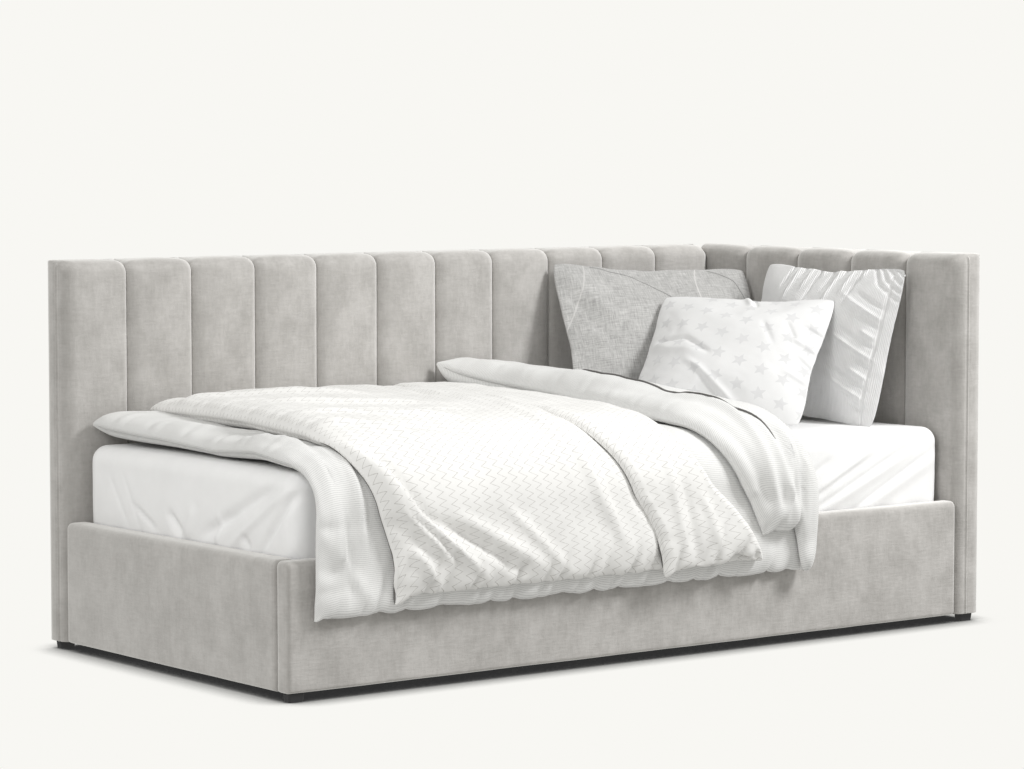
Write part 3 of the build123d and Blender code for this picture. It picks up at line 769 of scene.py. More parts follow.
def blanket(name, node, slot_name, plan, main_creases, flap_creases):
    """A filled cover with its head end folded back over itself: main layer, turn and flap."""
    main = dense_ends(1.0, plan["step"])
    turn = np.linspace(0, 1, 11)[1:-1]
    flap = dense_ends(1.0, 0.028, 0.12)
    kinds = np.concatenate([np.zeros(len(main)), np.ones(len(turn)), np.full(len(flap), 2.0)])
    shares = np.concatenate([main, turn, flap])
    parts = dense_ends(1.0, 0.0062, 0.035)
    kind, part = np.meshgrid(kinds, parts, indexing="ij")
    share = np.repeat(shares[:, None], len(parts), axis=1)
    lower = kind == 0
    bend = kind == 1
    upper = kind == 2
    rise = plan["flap_rise"] * smooth(share, 0.0, 0.30) + plan["pocket"] * bell(share - 0.22, 0.12)
    width = np.where(upper, plan["width"] - rise, plan["width"])
    run = part * width

    def planned(key):
        return along(run, plan[key])

    def layered(main_value, bend_value, flap_value):
        return np.where(lower, main_value, np.where(bend, bend_value, flap_value))

    # where each point lies along the bed, and how thick the cover is there
    foot = planned("foot")
    hem = planned("flap")
    crease = planned("crease")
    under = planned("under")
    full = planned("main_thick")
    tucked = planned("tucked_thick")
    flap_thick = planned("flap_thick")
    flap_middle = planned("flap_middle")
    main_x = foot + (crease - foot) * share
    flap_x = crease + (hem - crease) * share
    main_thick = full + (tucked - full) * smooth(main_x, hem - 0.04, hem + 0.04)
    last_stand = under + tucked / 2
    swing = share * math.pi
    x = layered(main_x, crease + (flap_middle - last_stand) / 2 * np.sin(swing), flap_x)
    whole = layered(main_thick, tucked + (flap_thick - tucked) * share, flap_thick)
    gap_foot = np.where(lower, main_x - foot, 1.0)
    gap_flap = np.where(upper, flap_x - hem, 1.0)
    gap_hem = width - run
    edge = edge_share(gap_foot, foot_round) * edge_share(run, side_round)
    edge = edge * edge_share(gap_hem, plan["hem_round"]) * edge_share(gap_flap, plan["flap_round"])
    thick = plan["edge_thick"] + (whole - plan["edge_thick"]) * edge

    # how far the middle of each layer stands off the bed; thin edges hug what lies below
    hug_hem = smooth(-gap_hem, -0.10, -0.02) * plan["hug"]
    hug = np.maximum(hug_hem, 0.35 * smooth(-gap_foot, -0.12, -0.03))
    main_stand = under + (whole * (1 - hug) + thick * hug) / 2
    flap_hug = np.maximum(hug_hem, planned("flap_hug") * smooth(-gap_flap, -0.10, -0.03))
    flap_stand = flap_middle - (whole - thick) / 2 * flap_hug
    bend_stand = last_stand + (flap_middle - last_stand) * (1 - np.cos(swing)) / 2
    bend_stand = bend_stand - (whole - thick) / 2 * hug_hem
    stand = layered(main_stand, bend_stand, flap_stand)
    stand = stand + plan["foot_tip"] * np.exp(-gap_foot / 0.12 - run / 0.22) * lower
    stand = stand + plan["flap_tip"] * np.exp(-gap_flap / 0.08 - run / 0.12) * upper
    stand = stand + np.where(lower, planned("foot_wave") * np.exp(-gap_foot / 0.10), 0.0)

    # unevenness, gathers, creases and the stitched line
    soft = plan["soft"] * waves(x * 0.8 + kind * 0.7, run, plan["seed"], 12.0)
    soft = soft + plan["soft"] * 0.35 * waves(x, run, plan["seed"] + 1, 34.0, 3)
    lift = soft * edge
    slanted = x - 0.35 * gap_hem
    lift = lift + gathers(slanted, gap_hem, plan["gather"], 0.045, plan["gather_tall"]) * (1 - bend)
    lift = lift + gathers(run, gap_foot, 0.075, 0.045, 0.0035, 1.0)
    lift = lift + gathers(run, gap_flap, 0.060, 0.030, 0.0020, 2.0)
    lift = lift + crease_share * ridges(x, run, main_creases) * edge * lower
    lift = lift + ridges(x, run, flap_creases) * edge * upper
    lift = lift - 0.0016 * bell(gap_flap - plan["stitch"], 0.003) * upper
    lift = np.where(bend, lift * 0.5, lift)
    covered = smooth(main_x, hem + 0.01, hem + 0.05) * lower
    lift = lift * (1 - covered)

    # the two faces of the cover, to each side of its middle
    tips = plan["tip"] * (bell(x - foot, 0.025) + bell(x - hem, 0.025) * upper)
    drop_out = smooth(-gap_hem, -0.10, 0.0)
    run_out = run + drop_out * (lobes(x, plan["lobe"], plan["lobe_deep"]) + tips)
    y, z, out_y, out_z = bed_path(run_out)
    middle = np.stack([x, y + out_y * stand, z + out_z * stand], axis=-1) + np.array(corner)
    normal = unit(np.cross(np.gradient(middle, axis=1), np.gradient(middle, axis=0)))
    near = middle + normal * (thick / 2 + np.where(lower, lift, 0.0))[..., None]
    far = middle - normal * (thick / 2 + np.where(lower, 0.0, lift))[..., None]

    # coordinates along the cloth itself, for its print
    cloth_run = run + np.clip((run - arc_start) / shoulder, 0, math.pi / 2) * (stand + thick / 2)
    cloth_run = cloth_run + 0.85 * whole * (1 - edge_share(gap_hem, plan["hem_round"]))
    fold_at = plan["fold_at"]
    bulge = 0.45 * whole * (1 - edge_share(gap_foot, foot_round))
    evened = (fold_at - (crease - foot)) * smooth(main_x, hem + 0.03, crease)
    flap_cloth = np.where(upper, share * plan["flap_cloth"], 0.0)
    cloth_x = np.where(lower, main_x - foot - bulge + evened, fold_at + flap_cloth)
    uv = np.stack([cloth_x, cloth_run], axis=-1).reshape(-1, 2)

    index = grid(*kind.shape)
    count = index.size
    faces = [quads(index)[:, ::-1], quads(index + count)]
    for line in (index[0], index[-1][::-1], index[:, 0][::-1], index[:, -1]):
        rim = [line[:-1], line[1:], line[1:] + count, line[:-1] + count]
        faces.append(np.stack(rim, axis=1)[:, ::-1])
    points = np.concatenate([near.reshape(-1, 3), far.reshape(-1, 3)])
    faces = np.concatenate(faces).tolist()
    cover = build(name, points, faces, slot_name, "platform", np.concatenate([uv, uv]))
    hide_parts(node)
    return {"cover": cover, "middle": middle, "run": run, "main_rows": len(main), "far": far}


def cord_along(name, points, radius, slot_name, look):
    """A thin round cord through a line of points, tapered at its ends."""
    ahead = unit(np.gradient(points, axis=0))
    side = unit(np.cross(ahead, np.array([0.35, 0.2, 0.9])))
    up = np.cross(side, ahead)
    order = np.arange(len(points))
    taper = np.sqrt(np.clip(np.minimum(order, order[::-1]) / 4 + 0.05, 0, 1))
    sides = 8
    turns = (np.arange(sides) * math.tau / sides)[None, :, None]
    ring = side[:, None] * np.cos(turns) + up[:, None] * np.sin(turns)
    every = points[:, None] + radius * taper[:, None, None] * ring
    index = grid(len(points), sides)
    faces = quads(closed(index)).tolist() + [index[0][::-1].tolist(), index[-1].tolist()]
    build(name, every.reshape(-1, 3), faces, slot_name, "platform", look=look)


# each list holds (place along the cover's width, value) pairs
duvet_plan = dict(
    step=0.0062,
    seed=11,
    width=arc_end + drop_top - duvet_hem,
    flap_rise=0.105,
    pocket=0.020,
    foot=[
        (0, 0.068), (0.45, 0.098), (0.7, 0.075), (0.87, 0.045), (0.95, 0.064), (1.05, 0.060), (1.24, 0.061),
    ],
    flap=[
        (0, 1.10), (0.18, 1.16), (0.39, 1.185), (0.75, 1.19), (0.88, 1.19),
        (0.95, 1.235), (1.03, 1.30), (1.10, 1.345), (1.24, 1.40),
    ],
    crease=[
        (0, 1.26), (0.3, 1.28), (0.55, 1.32), (0.75, 1.365), (0.88, 1.395),
        (0.95, 1.44), (1.02, 1.49), (1.24, 1.495),
    ],
    under=[(0, 0.0025), (1.24, 0.0025)],
    main_thick=[(0, 0.070), (0.3, 0.056), (0.8, 0.050), (1.0, 0.030), (1.24, 0.030)],
    tucked_thick=[(0, 0.062), (0.5, 0.052), (0.85, 0.038), (1.0, 0.026), (1.24, 0.024)],
    flap_thick=[(0, 0.088), (0.3, 0.086), (0.6, 0.076), (0.85, 0.058), (1.0, 0.046), (1.24, 0.038)],
    flap_middle=[
        (0, 0.110), (0.3, 0.108), (0.55, 0.096), (0.78, 0.078), (0.92, 0.062), (1.05, 0.050), (1.24, 0.044),
    ],
    flap_hug=[(0, 0.0), (0.4, 0.3), (0.7, 0.75), (1.24, 0.7)],
    foot_tip=0.022,
    flap_tip=0.045,
    foot_wave=[(0, 0.0), (0.3, 0.004), (0.5, -0.004), (0.7, 0.012), (0.9, 0.004), (1.24, 0.0)],
    hem_round=0.060,
    flap_round=0.060,
    edge_thick=0.0055,
    hug=0.8,
    soft=0.0055,
    gather=0.056,
    gather_tall=0.0070,
    stitch=0.30,
    tip=0.008,
    lobe=0.105,
    lobe_deep=0.010,
    fold_at=1.30,
    flap_cloth=0.20,
)
quilt_plan = dict(
    step=0.0085,
    seed=21,
    width=arc_end + drop_top - quilt_hem,
    flap_rise=0.0,
    pocket=0.022,
    foot=[(0, 0.232), (0.45, 0.19), (0.85, 0.145), (0.92, 0.155), (0.98, 0.20), (1.12, 0.252), (1.24, 0.262)],
    flap=[(0, 0.955), (0.45, 0.89), (0.85, 0.83), (0.92, 0.846), (0.98, 0.91), (1.10, 0.995), (1.21, 1.035)],
    crease=[(0, 1.09), (0.5, 1.05), (0.85, 1.015), (0.92, 1.04), (1.0, 1.14), (1.12, 1.27), (1.21, 1.335)],
    under=[(0, 0.052), (0.5, 0.056), (0.8, 0.053), (1.0, 0.0335), (1.24, 0.0325)],
    main_thick=[(0, 0.052), (0.3, 0.066), (0.8, 0.058), (1.0, 0.034), (1.24, 0.038)],
    tucked_thick=[(0, 0.024), (0.8, 0.022), (1.0, 0.018), (1.24, 0.018)],
    flap_thick=[(0, 0.030), (0.8, 0.030), (1.0, 0.026), (1.24, 0.028)],
    flap_middle=[(0, 0.093), (0.5, 0.097), (0.8, 0.092), (1.0, 0.067), (1.24, 0.067)],
    flap_hug=[(0, 0.6), (1.24, 0.7)],
    foot_tip=0.006,
    flap_tip=0.010,
    foot_wave=[(0, 0.0), (0.5, 0.004), (0.8, -0.002), (1.24, 0.0)],
    hem_round=0.105,
    flap_round=0.022,
    edge_thick=0.0045,
    hug=0.9,
    soft=0.0060,
    gather=0.066,
    gather_tall=0.0115,
    stitch=0.012,
    tip=0.020,
    lobe=0.085,
    lobe_deep=0.005,
    fold_at=1.00,
    flap_cloth=0.19,
)

# creases as (start, end, width, height), in metres along and across the bed
duvet_creases = [
    ((0.11, 0.25), (0.22, 0.62), 0.018, 0.006),
    ((0.10, 0.62), (0.13, 0.90), 0.014, 0.010),
    ((0.13, 0.82), (0.10, 1.02), 0.010, -0.008),
    ((0.085, 0.86), (0.12, 1.12), 0.011, 0.009),
    ((0.15, 0.88), (0.18, 1.10), 0.011, 0.008),
    ((0.13, 0.98), (0.15, 1.20), 0.012, -0.006),
    ((0.08, 1.06), (0.20, 1.21), 0.014, 0.005),
]
duvet_flap_creases = [
    ((1.16, 0.10), (1.24, 0.62), 0.020, 0.006),
    ((1.22, 0.35), (1.30, 0.86), 0.018, 0.010),
    ((1.19, 0.45), (1.25, 0.80), 0.014, -0.006),
    ((1.24, 0.74), (1.37, 1.06), 0.014, 0.014),
    ((1.27, 0.70), (1.42, 1.02), 0.016, -0.010),
    ((1.31, 0.80), (1.43, 1.08), 0.013, 0.012),
    ((1.22, 0.88), (1.35, 1.05), 0.012, -0.009),
    ((1.42, 0.94), (1.40, 1.12), 0.010, 0.011),
    ((1.45, 0.92), (1.46, 1.12), 0.010, -0.009),
]
quilt_creases = [
    ((0.17, 0.92), (0.47, 1.15), 0.011, 0.014),
    ((0.20, 0.96), (0.38, 1.12), 0.010, 0.012),
    ((0.19, 0.91), (0.42, 1.10), 0.008, -0.008),
    ((0.29, 1.10), (0.36, 1.18), 0.010, 0.010),
    ((0.37, 1.04), (0.60, 1.17), 0.011, -0.010),
    ((0.42, 1.03), (0.66, 1.16), 0.014, 0.006),
    ((0.17, 0.82), (0.36, 0.91), 0.016, 0.010),
    ((0.24, 0.83), (0.50, 0.90), 0.013, -0.008),
    ((0.22, 0.70), (0.52, 0.84), 0.018, 0.009),
    ((0.30, 0.62), (0.62, 0.78), 0.016, -0.007),
    ((0.26, 0.44), (0.60, 0.66), 0.022, 0.010),
    ((0.30, 0.34), (0.62, 0.50), 0.020, -0.007),
    ((0.26, 0.14), (0.60, 0.34), 0.024, 0.010),
    ((0.42, 0.02), (0.50, 0.24), 0.040, 0.010),
    ((0.70, 0.06), (0.78, 0.40), 0.036, 0.008),
    ((0.77, 0.20), (0.78, 0.78), 0.020, -0.012),
    ((0.70, 0.50), (0.74, 0.92), 0.026, 0.008),
    ((0.72, 0.86), (0.90, 1.12), 0.018, 0.006),
    ((0.55, 1.02), (0.74, 1.18), 0.012, 0.005),
]
quilt_flap_creases = [
    ((1.00, 0.20), (0.96, 0.70), 0.018, 0.004),
    ((1.02, 0.96), (1.08, 1.17), 0.012, 0.006),
    ((1.07, 1.00), (1.12, 1.19), 0.012, -0.007),
    ((1.12, 1.02), (1.20, 1.18), 0.014, 0.006),
]

duvet_made = blanket(
    "striped_duvet_cover", "striped_duvet", "pinstripe_cotton", duvet_plan, duvet_creases, duvet_flap_creases
)
quilt_made = blanket(
    "zigzag_quilt_cover", "zigzag_quilt", "zigzag_cotton", quilt_plan, quilt_creases, quilt_flap_creases
)


def cover_edge(made, row, low, high):
    """The middle points of one row of a cover between two places along its width."""
    keep = (made["run"][row] >= low) & (made["run"][row] <= high)
    return made["middle"][row][keep]


def fold_ridge(made, low, high):
    """The line along the top of a cover's folded end, between two places along its width."""
    headward = 0.06
    window = 15
    folded = made["far"][made["main_rows"]:]
    run = made["run"][made["main_rows"]:]
    best = np.argmax(folded[..., 2] + headward * folded[..., 0], axis=0)
    column = np.arange(folded.shape[1])
    kernel = np.hanning(window)[1:-1]
    kernel /= kernel.sum()
    pad = len(kernel) // 2
    held = np.pad(folded[best, column], ((pad, pad), (0, 0)), mode="edge")
    eased = np.stack([np.convolve(held[:, axis], kernel, mode="valid") for axis in range(3)], axis=1)
    keep = (run[best, column] >= low) & (run[best, column] <= high)
    return eased[keep]


def laid_on(piece, points, rise):
    """Points moved to the nearest places on a piece's surface, and out from it by rise."""
    corners = [vertex.co for vertex in piece.data.vertices]
    tree = BVHTree.FromPolygons(corners, [tuple(face.vertices) for face in piece.data.polygons])
    laid = []
    for point in points:
        place, outward = tree.find_nearest(tuple(point))[:2]
        laid.append(place + outward * rise)
    return np.array(laid)


quilt_foot = cover_edge(quilt_made, 0, 0.86, 1.2)
quilt_flap = cover_edge(quilt_made, -1, 0.86, 1.19)
duvet_foot = cover_edge(duvet_made, 0, 0.02, 0.92)
duvet_flap = cover_edge(duvet_made, -1, 0.02, 1.08)
duvet_ridge = laid_on(duvet_made["cover"], fold_ridge(duvet_made, 0.44, 0.955), 0.0014)
# Painted shadow: the near-black cords along the quilt's foot and flap edges and along the duvet's folded
# ridge stand in for the shadow gaps there. The two duvet seams are sewn seams.
cord_along("quilt_foot_shadow_cord", quilt_foot, 0.0019, "zigzag_cotton", "gap_shadow_cord")
cord_along("quilt_flap_shadow_cord", quilt_flap, 0.0019, "zigzag_cotton", "gap_shadow_cord")
cord_along("duvet_foot_seam", duvet_foot, 0.0034, "pinstripe_cotton", "seam_cotton")
cord_along("duvet_flap_seam", duvet_flap, 0.0034, "pinstripe_cotton", "seam_cotton")
cord_along("duvet_head_shadow_cord", duvet_ridge, 0.0026, "pinstripe_cotton", "gap_shadow_cord")


# ---- mattress and fitted sheet -----------------------------------------------------------------
def bed_block(name, low, high, upright_round, top_round, bottom_round, shape, slot_name):
    """A mattress-shaped closed block: upright corners and top edges rounded by their own radii."""
    step = 0.007
    low, high = np.array(low), np.array(high)
    centre = (low + high) / 2
    half = (high - low) / 2
    core = half[:2] - upright_round
    arcs = []
    for quarter, signs in enumerate(((1, 1), (-1, 1), (-1, -1), (1, -1))):
        turn = quarter * math.pi / 2 + np.linspace(0, math.pi / 2, 9)
        arcs.append(core * np.array(signs) + upright_round * np.column_stack([np.cos(turn), np.sin(turn)]))
    outline = []
    for arc, after in zip(arcs, arcs[1:] + arcs[:1]):
        outline.append(arc)
        gap = after[0] - arc[-1]
        steps = max(2, int(np.linalg.norm(gap) / step))
        outline.append(arc[-1] + gap * np.linspace(0, 1, steps)[1:-1, None])
    outline = np.concatenate(outline)
    inner = np.clip(outline, -core, core)
    away = outline - inner
    size = np.linalg.norm(away, axis=1, keepdims=True)
    sides = []
    for turn in np.linspace(0, math.pi / 2, 6):
        sides.append((bottom_round * (1 - math.sin(turn)), low[2] + bottom_round * (1 - math.cos(turn))))
    sides += [(0.0, z) for z in np.arange(low[2] + bottom_round + step, high[2] - top_round, step)]
    for turn in np.linspace(0, math.pi / 2, 9):
        sides.append((top_round * (1 - math.cos(turn)), high[2] - top_round + top_round * math.sin(turn)))
    rings = []
    for inset, z in sides:
        ring = inner + away * (1 - inset / np.maximum(size, 1e-9))
        rings.append(np.column_stack([ring, np.full(len(ring), z - centre[2])]))
    below = (0.03, 0.2, 0.4, 0.6, 0.8, 0.95)
    above = (0.98, 0.95, 0.91, 0.86, 0.8, 0.7, 0.55, 0.4, 0.25, 0.1, 0.03)
    under = [rings[0] * (share, share, 1) for share in below]
    over = [rings[-1] * (share, share, 1) for share in above]
    rings = under + rings + over
    points = np.concatenate(rings)
    faces = quads(closed(grid(len(rings), len(outline))))[:, [0, 3, 2, 1]]
    outward = np.zeros_like(points)
    outward[:, :2] = points[:, :2] - np.clip(points[:, :2], -core, core)
    outward[:, 2] = np.maximum(points[:, 2] - (half[2] - top_round), 0)
    size = np.linalg.norm(outward, axis=1, keepdims=True)
    outward = np.divide(outward, size, out=np.zeros_like(outward), where=size > 1e-9)
    points = points + centre
    points = points + outward * shape(points, outward)[:, None]
    return build(name, points, faces.tolist(), slot_name, "platform")


foot_pulls = [
    ((0.155, 0.456), (0.33, 0.375), 0.017, -0.012),
    ((0.31, 0.385), (0.42, 0.335), 0.019, -0.011),
    ((0.08, 0.462), (0.295, 0.330), 0.011, 0.007),
    ((0.065, 0.448), (0.175, 0.325), 0.012, -0.014),
    ((0.26, 0.345), (0.235, 0.320), 0.013, -0.007),
    ((0.362, 0.380), (0.371, 0.322), 0.006, 0.010),
    ((0.47, 0.390), (0.50, 0.325), 0.026, 0.006),
    ((0.578, 0.368), (0.525, 0.325), 0.015, -0.011),
    ((0.73, 0.372), (0.64, 0.330), 0.007, -0.007),
    ((0.84, 0.430), (0.765, 0.330), 0.005, -0.0035),
    ((0.78, 0.440), (0.71, 0.325), 0.005, -0.0035),
    ((0.02, 0.43), (0.06, 0.33), 0.020, 0.005),
]
front_pulls = [
    ((1.60, 0.34), (1.79, 0.434), 0.006, -0.006),
    ((1.62, 0.36), (1.80, 0.450), 0.016, 0.006),
    ((1.62, 0.318), (1.91, 0.448), 0.006, -0.007),
    ((1.66, 0.325), (1.93, 0.440), 0.018, 0.006),
    ((1.765, 0.318), (2.00, 0.433), 0.006, -0.006),
    ((1.80, 0.320), (2.02, 0.420), 0.018, 0.005),
    ((1.60, 0.40), (1.665, 0.438), 0.008, -0.004),
]
sheet_room = 0.014
pull_share = 0.72


def sheet_shape(points, outward):
    """Soft pulls in the sheet: slanting ones on the foot face and at the front of the head end."""
    x, y, z = (points - np.array(corner)).T
    foot = smooth(-outward[:, 0], 0.3, 0.8)
    front = smooth(-outward[:, 1], 0.3, 0.8)
    lift = 0.0012 * waves(x + y, z * 1.5, 31, 12.0)
    lift = lift + foot * ridges(y, z, foot_pulls, pull_share) + front * ridges(x, z, front_pulls)
    hem = np.exp(-np.maximum(z - 0.30, 0) / 0.02)
    return lift - 0.002 * hem * (1 + np.sin((x + y) * 60))


def mattress_shape(points, outward):
    """Two raised piping lines round the side of the mattress."""
    z = points[:, 2]
    side = np.linalg.norm(outward[:, :2], axis=1)
    low_line = groove(z, mattress_low[2] + 0.022, 0.003, 0.003)
    high_line = groove(z, mattress_high[2] - 0.045, 0.003, 0.003)
    return (low_line + high_line - 0.001) * side


inner_low = np.array(mattress_low) + (sheet_room, sheet_room, 0)
inner_high = np.array(mattress_high) - (sheet_room, sheet_room, 0)
mattress_piece = bed_block(
    "mattress_block", inner_low, inner_high, 0.040, 0.035, 0.012, mattress_shape, "mattress_cloth"
)
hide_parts("mattress")


def make_sheet():
    """The fitted sheet: the mattress's sides and top in one cloth, open underneath."""
    piece = bed_block(
        "fitted_sheet_cloth", sheet_low, sheet_high, 0.0425, 0.0375, 0.0, sheet_shape, "sheet_cotton"
    )
    mesh = piece.data
    under = [face.index for face in mesh.polygons if face.normal.z < -0.9]
    work = bmesh.new()
    work.from_mesh(mesh)
    work.faces.ensure_lookup_table()
    bmesh.ops.delete(work, geom=[work.faces[number] for number in under], context="FACES")
    work.to_mesh(mesh)
    work.free()
    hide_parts("fitted_sheet")


make_sheet()

# ---- cushions ------------------------------------------------------------------------------------
corner_pull = 0.045
side_pull = 0.18
farthest_step = 0.09


def blown_cushion(name, wide, high, thick, slot_name, seed, steps=46):
    """A sewn pillow: two flat panels joined at their edges, filled by a short cloth simulation."""
    places = np.linspace(-1, 1, steps)
    across, up = np.meshgrid(places, places, indexing="ij")
    dome = (1 - across**2) * (1 - up**2)
    start = 0.30 * thick * np.clip(dome, 0, 1) ** 0.5
    worn = 1 - corner_pull * (across * up) ** 8
    index_front = grid(steps, steps)
    inside = np.zeros((steps, steps), dtype=bool)
    inside[1:-1, 1:-1] = True
    index_back = index_front.copy()
    index_back[inside] = steps * steps + np.arange(inside.sum())
    front = np.stack([across * worn * wide / 2, up * worn * high / 2, start], axis=-1).reshape(-1, 3)
    back = front[index_front[inside]] * (1, 1, -1)
    points = np.concatenate([front, back])
    faces = np.concatenate([quads(index_front), quads(index_back)[:, ::-1]])
    uv = points[:, :2].copy()
    chance = np.random.default_rng(seed)
    points[:, 2] += chance.normal(0, 0.0006, len(points))
    piece = build(name, points, faces.tolist(), slot_name, "platform", uv)
    simulate(piece, thick)
    return piece


def simulate(piece, thick, pressure=4.0, frames=20, grow=-0.03):
    """Fill a closed piece with a short cloth simulation, capped, and apply it."""
    scene = bpy.context.scene
    rest = points_of(piece)
    fill = piece.modifiers.new("fill", "CLOTH")
    settings = fill.settings
    settings.quality = 6
    settings.mass = 0.25
    settings.tension_stiffness = 25
    settings.compression_stiffness = 10
    settings.shear_stiffness = 8
    settings.bending_stiffness = 0.4
    settings.shrink_min = grow
    settings.use_pressure = True
    settings.uniform_pressure_force = pressure
    settings.effector_weights.gravity = 0
    fill.collision_settings.use_collision = False
    fill.point_cache.frame_start = 1
    fill.point_cache.frame_end = frames
    for number in range(1, frames + 1):
        scene.frame_set(number)
    graph = bpy.context.evaluated_depsgraph_get()
    done = piece.evaluated_get(graph).to_mesh()
    moved = np.array([tuple(vertex.co) for vertex in done.vertices])
    piece.evaluated_get(graph).to_mesh_clear()
    piece.modifiers.clear()
    scene.frame_set(1)
    height = np.abs(moved[:, 2]).max()
    moved[:, 2] *= min(1.6, (thick / 2) / max(height, 1e-6))
    step = (moved - rest) * (side_pull, side_pull, 1)
    length = np.linalg.norm(step, axis=1, keepdims=True)
    move_points(piece, rest + step * np.minimum(1, farthest_step / np.maximum(length, 1e-9)))


def set_down(piece, centre, facing, lean, roll):
    """Stand a cushion at a centre, facing a direction, leaning back and rolled in its own plane."""
    turn = math.radians(facing)
    tilt = math.radians(lean)
    outward = Vector((math.cos(turn) * math.cos(tilt), math.sin(turn) * math.cos(tilt), math.sin(tilt)))
    across = Vector((-math.sin(turn), math.cos(turn), 0))
    up = outward.cross(across)
    spin = Matrix.Rotation(math.radians(roll), 3, "Z")
    basis = Matrix((across, up, outward)).transposed() @ spin
    move_points(piece, points_of(piece) @ np.array(basis).T + np.array(centre))


def refine(piece):
    """One round of subdivision, applied to the mesh."""
    modifier = piece.modifiers.new("soft", "SUBSURF")
    modifier.levels = 1
    modifier.render_levels = 1
    graph = bpy.context.evaluated_depsgraph_get()
    finer = bpy.data.meshes.new_from_object(piece.evaluated_get(graph), depsgraph=graph)
    piece.modifiers.clear()
    piece.data = finer


def wrinkle(piece, wide, high, creases, seam_x):
    """Raise creases on a cushion's front, given in its own flat coordinates, and sink its side seam."""
    points = points_of(piece)
    x, y, z = points.T
    inside = smooth(np.minimum(wide / 2 - np.abs(x), high / 2 - np.abs(y)), 0.0, 0.012)
    lift = 0.0008 * waves(x, y, 77, 45.0) + ridges(x, y, creases)
    if seam_x is not None:
        lift = lift - groove(x, seam_x + 0.006 * np.sin(y * 11), 0.004, 0.004)
    points[:, 2] = z + np.where(z > 0.001, lift * inside, 0.0)
    move_points(piece, points)


def ribbed_creases():
    """Pleats below the top edge, folds that run in from the side seam, and arcs at the top corner."""
    wide = 0.0055
    creases = []
    for number, place in enumerate(np.linspace(-0.15, 0.14, 12)):
        reach = 0.07 + 0.04 * math.sin(number * 2.1)
        tall = 0.0050 if number % 2 else -0.0045
        creases.append(((place, 0.225), (place - 0.018, 0.215 - reach), wide, tall))
    for number, place in enumerate(np.linspace(0.10, -0.17, 11)):
        reach = 0.08 + 0.045 * math.sin(number * 1.7)
        tall = 0.0065 if number % 2 else -0.0050
        creases.append(((0.222, place), (0.222 - reach, place + 0.42 * reach), wide, tall))
    for number in range(4):
        shift = 0.022 * number
        bend = (0.195 + shift, 0.165 + shift / 2)
        creases.append(((0.145 + shift, 0.222), bend, wide, -0.0060))
        creases.append((bend, (0.262, 0.125 + shift), wide, -0.0060))
    return creases


linen_creases = [
    ((-0.27, 0.20), (-0.16, 0.05), 0.020, 0.006),
    ((-0.26, 0.12), (-0.18, -0.02), 0.014, -0.005),
    ((0.26, 0.20), (0.16, 0.10), 0.018, 0.005),
    ((-0.05, 0.21), (-0.02, 0.10), 0.022, -0.004),
]
star_creases = [
    ((-0.20, 0.035), (-0.12, 0.030), 0.008, -0.007),
    ((-0.12, 0.030), (-0.045, -0.025), 0.008, -0.008),
    ((-0.20, 0.015), (-0.07, -0.030), 0.018, 0.008),
    ((-0.085, -0.060), (0.060, -0.180), 0.010, 0.008),
    ((-0.065, -0.085), (0.050, -0.190), 0.008, -0.006),
    ((-0.010, 0.232), (0.020, 0.180), 0.009, 0.008),
    ((0.005, 0.232), (0.035, 0.175), 0.006, -0.007),
    ((0.235, 0.08), (0.185, 0.10), 0.006, -0.005),
    ((0.235, 0.02), (0.170, 0.045), 0.007, 0.006),
    ((0.235, -0.04), (0.190, -0.01), 0.006, -0.005),
    ((0.235, -0.09), (0.175, -0.07), 0.007, 0.005),
    ((0.14, 0.10), (0.17, 0.05), 0.007, -0.005),
    ((0.08, 0.09), (0.12, 0.02), 0.008, -0.004),
]
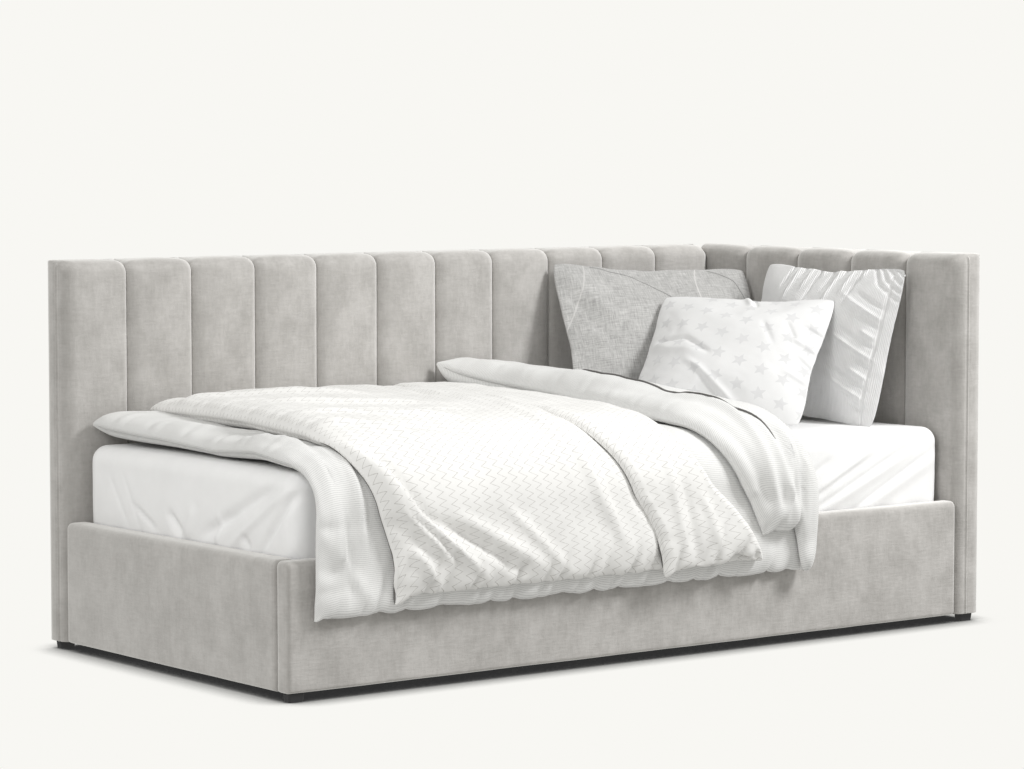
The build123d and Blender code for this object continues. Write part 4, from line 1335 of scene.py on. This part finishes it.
# node, cloth, centre, facing and lean in degrees, width, height, thickness, roll, creases, side seam
cushion_rows = [
    (
        "linen_cushion", "grey_linen", (1.734, 0.780, 0.699), -102, 30,
        0.612, 0.480, 0.125, -3.0, linen_creases, None,
    ),
    (
        "star_pillow", "star_cotton", (1.706, 0.480, 0.668), -149.5, 47,
        0.50, 0.47, 0.125, 0.0, star_creases, None,
    ),
    (
        "ribbed_cushion", "ribbed_cotton", (1.972, 0.428, 0.703), 180, 16,
        0.56, 0.44, 0.105, 0.0, ribbed_creases(), 0.228,
    ),
]
for number, row in enumerate(cushion_rows):
    node, slot_name, centre, facing, lean, wide, high, thick, roll, creases, seam_x = row
    cushion = blown_cushion(node + "_filled", wide, high, thick, slot_name, 40 + number)
    refine(cushion)
    refine(cushion)
    wrinkle(cushion, wide, high, creases, seam_x)
    set_down(cushion, at(*centre), facing, lean, roll)
    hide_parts(node)

# ---- floor and light -----------------------------------------------------------------------------
studio_colour = tint(0.939, 0.931, 0.896)
shade_reach = 0.11


def make_floor():
    """A plain pale floor, evenly bright, glowing in the backdrop's colour, with a painted shadow only close
    under the bed, where ambient occlusion darkens the glow.
    """
    reach = 12.0
    corners = [(-reach, -reach, 0), (reach, -reach, 0), (reach, reach, 0), (-reach, reach, 0)]
    mesh = bpy.data.meshes.new("floor")
    mesh.from_pydata(corners, [], [(0, 1, 2, 3)])
    floor = put("floor", mesh)
    look = Look("floor_paper")
    # Painted shadow: ambient occlusion within shade_reach of the bed darkens the floor's glow towards near
    # black.
    near = look.add("ShaderNodeAmbientOcclusion", {"Distance": shade_reach}, "AO", samples=8)
    shade = look.span(near, 0.30, 0.88)
    glow = look.add("ShaderNodeEmission", {"Color": look.blend(shade, tint(0.03, 0.03, 0.03), studio_colour)})
    look.feed(look.tree.nodes["Material Output"].inputs["Surface"], glow)
    mesh.materials.append(look.material)
    floor.visible_diffuse = False
    floor.visible_glossy = False


def make_world(lighting):
    """The backdrop shows at full strength and lights the bed at less, so that the lamps model its folds."""
    world = bpy.data.worlds.new("studio")
    world.use_nodes = True
    nodes = world.node_tree.nodes
    background = nodes["Background"]
    background.inputs["Color"].default_value = studio_colour
    strength = nodes.new("ShaderNodeMapRange")
    strength.inputs["To Min"].default_value = lighting
    strength.inputs["To Max"].default_value = 1.0
    path = nodes.new("ShaderNodeLightPath")
    world.node_tree.links.new(path.outputs["Is Camera Ray"], strength.inputs["Value"])
    world.node_tree.links.new(strength.outputs["Result"], background.inputs["Strength"])
    bpy.context.scene.world = world


def area_light(name, place, target, size, power):
    """A square lamp that points at a target."""
    data = bpy.data.lights.new(name, "AREA")
    data.shape = "SQUARE"
    data.size = size
    data.energy = power
    lamp = put(name, data)
    lamp.location = place
    aim(lamp, target - place)


make_floor()
make_world(0.62)
bed_middle = at(1.0, 0.5, 0.4)
area_light("key", at(3.2, -2.5, 3.6), bed_middle, 1.2, 165)
area_light("fill", at(-3.4, -1.8, 2.8), bed_middle, 1.8, 80)
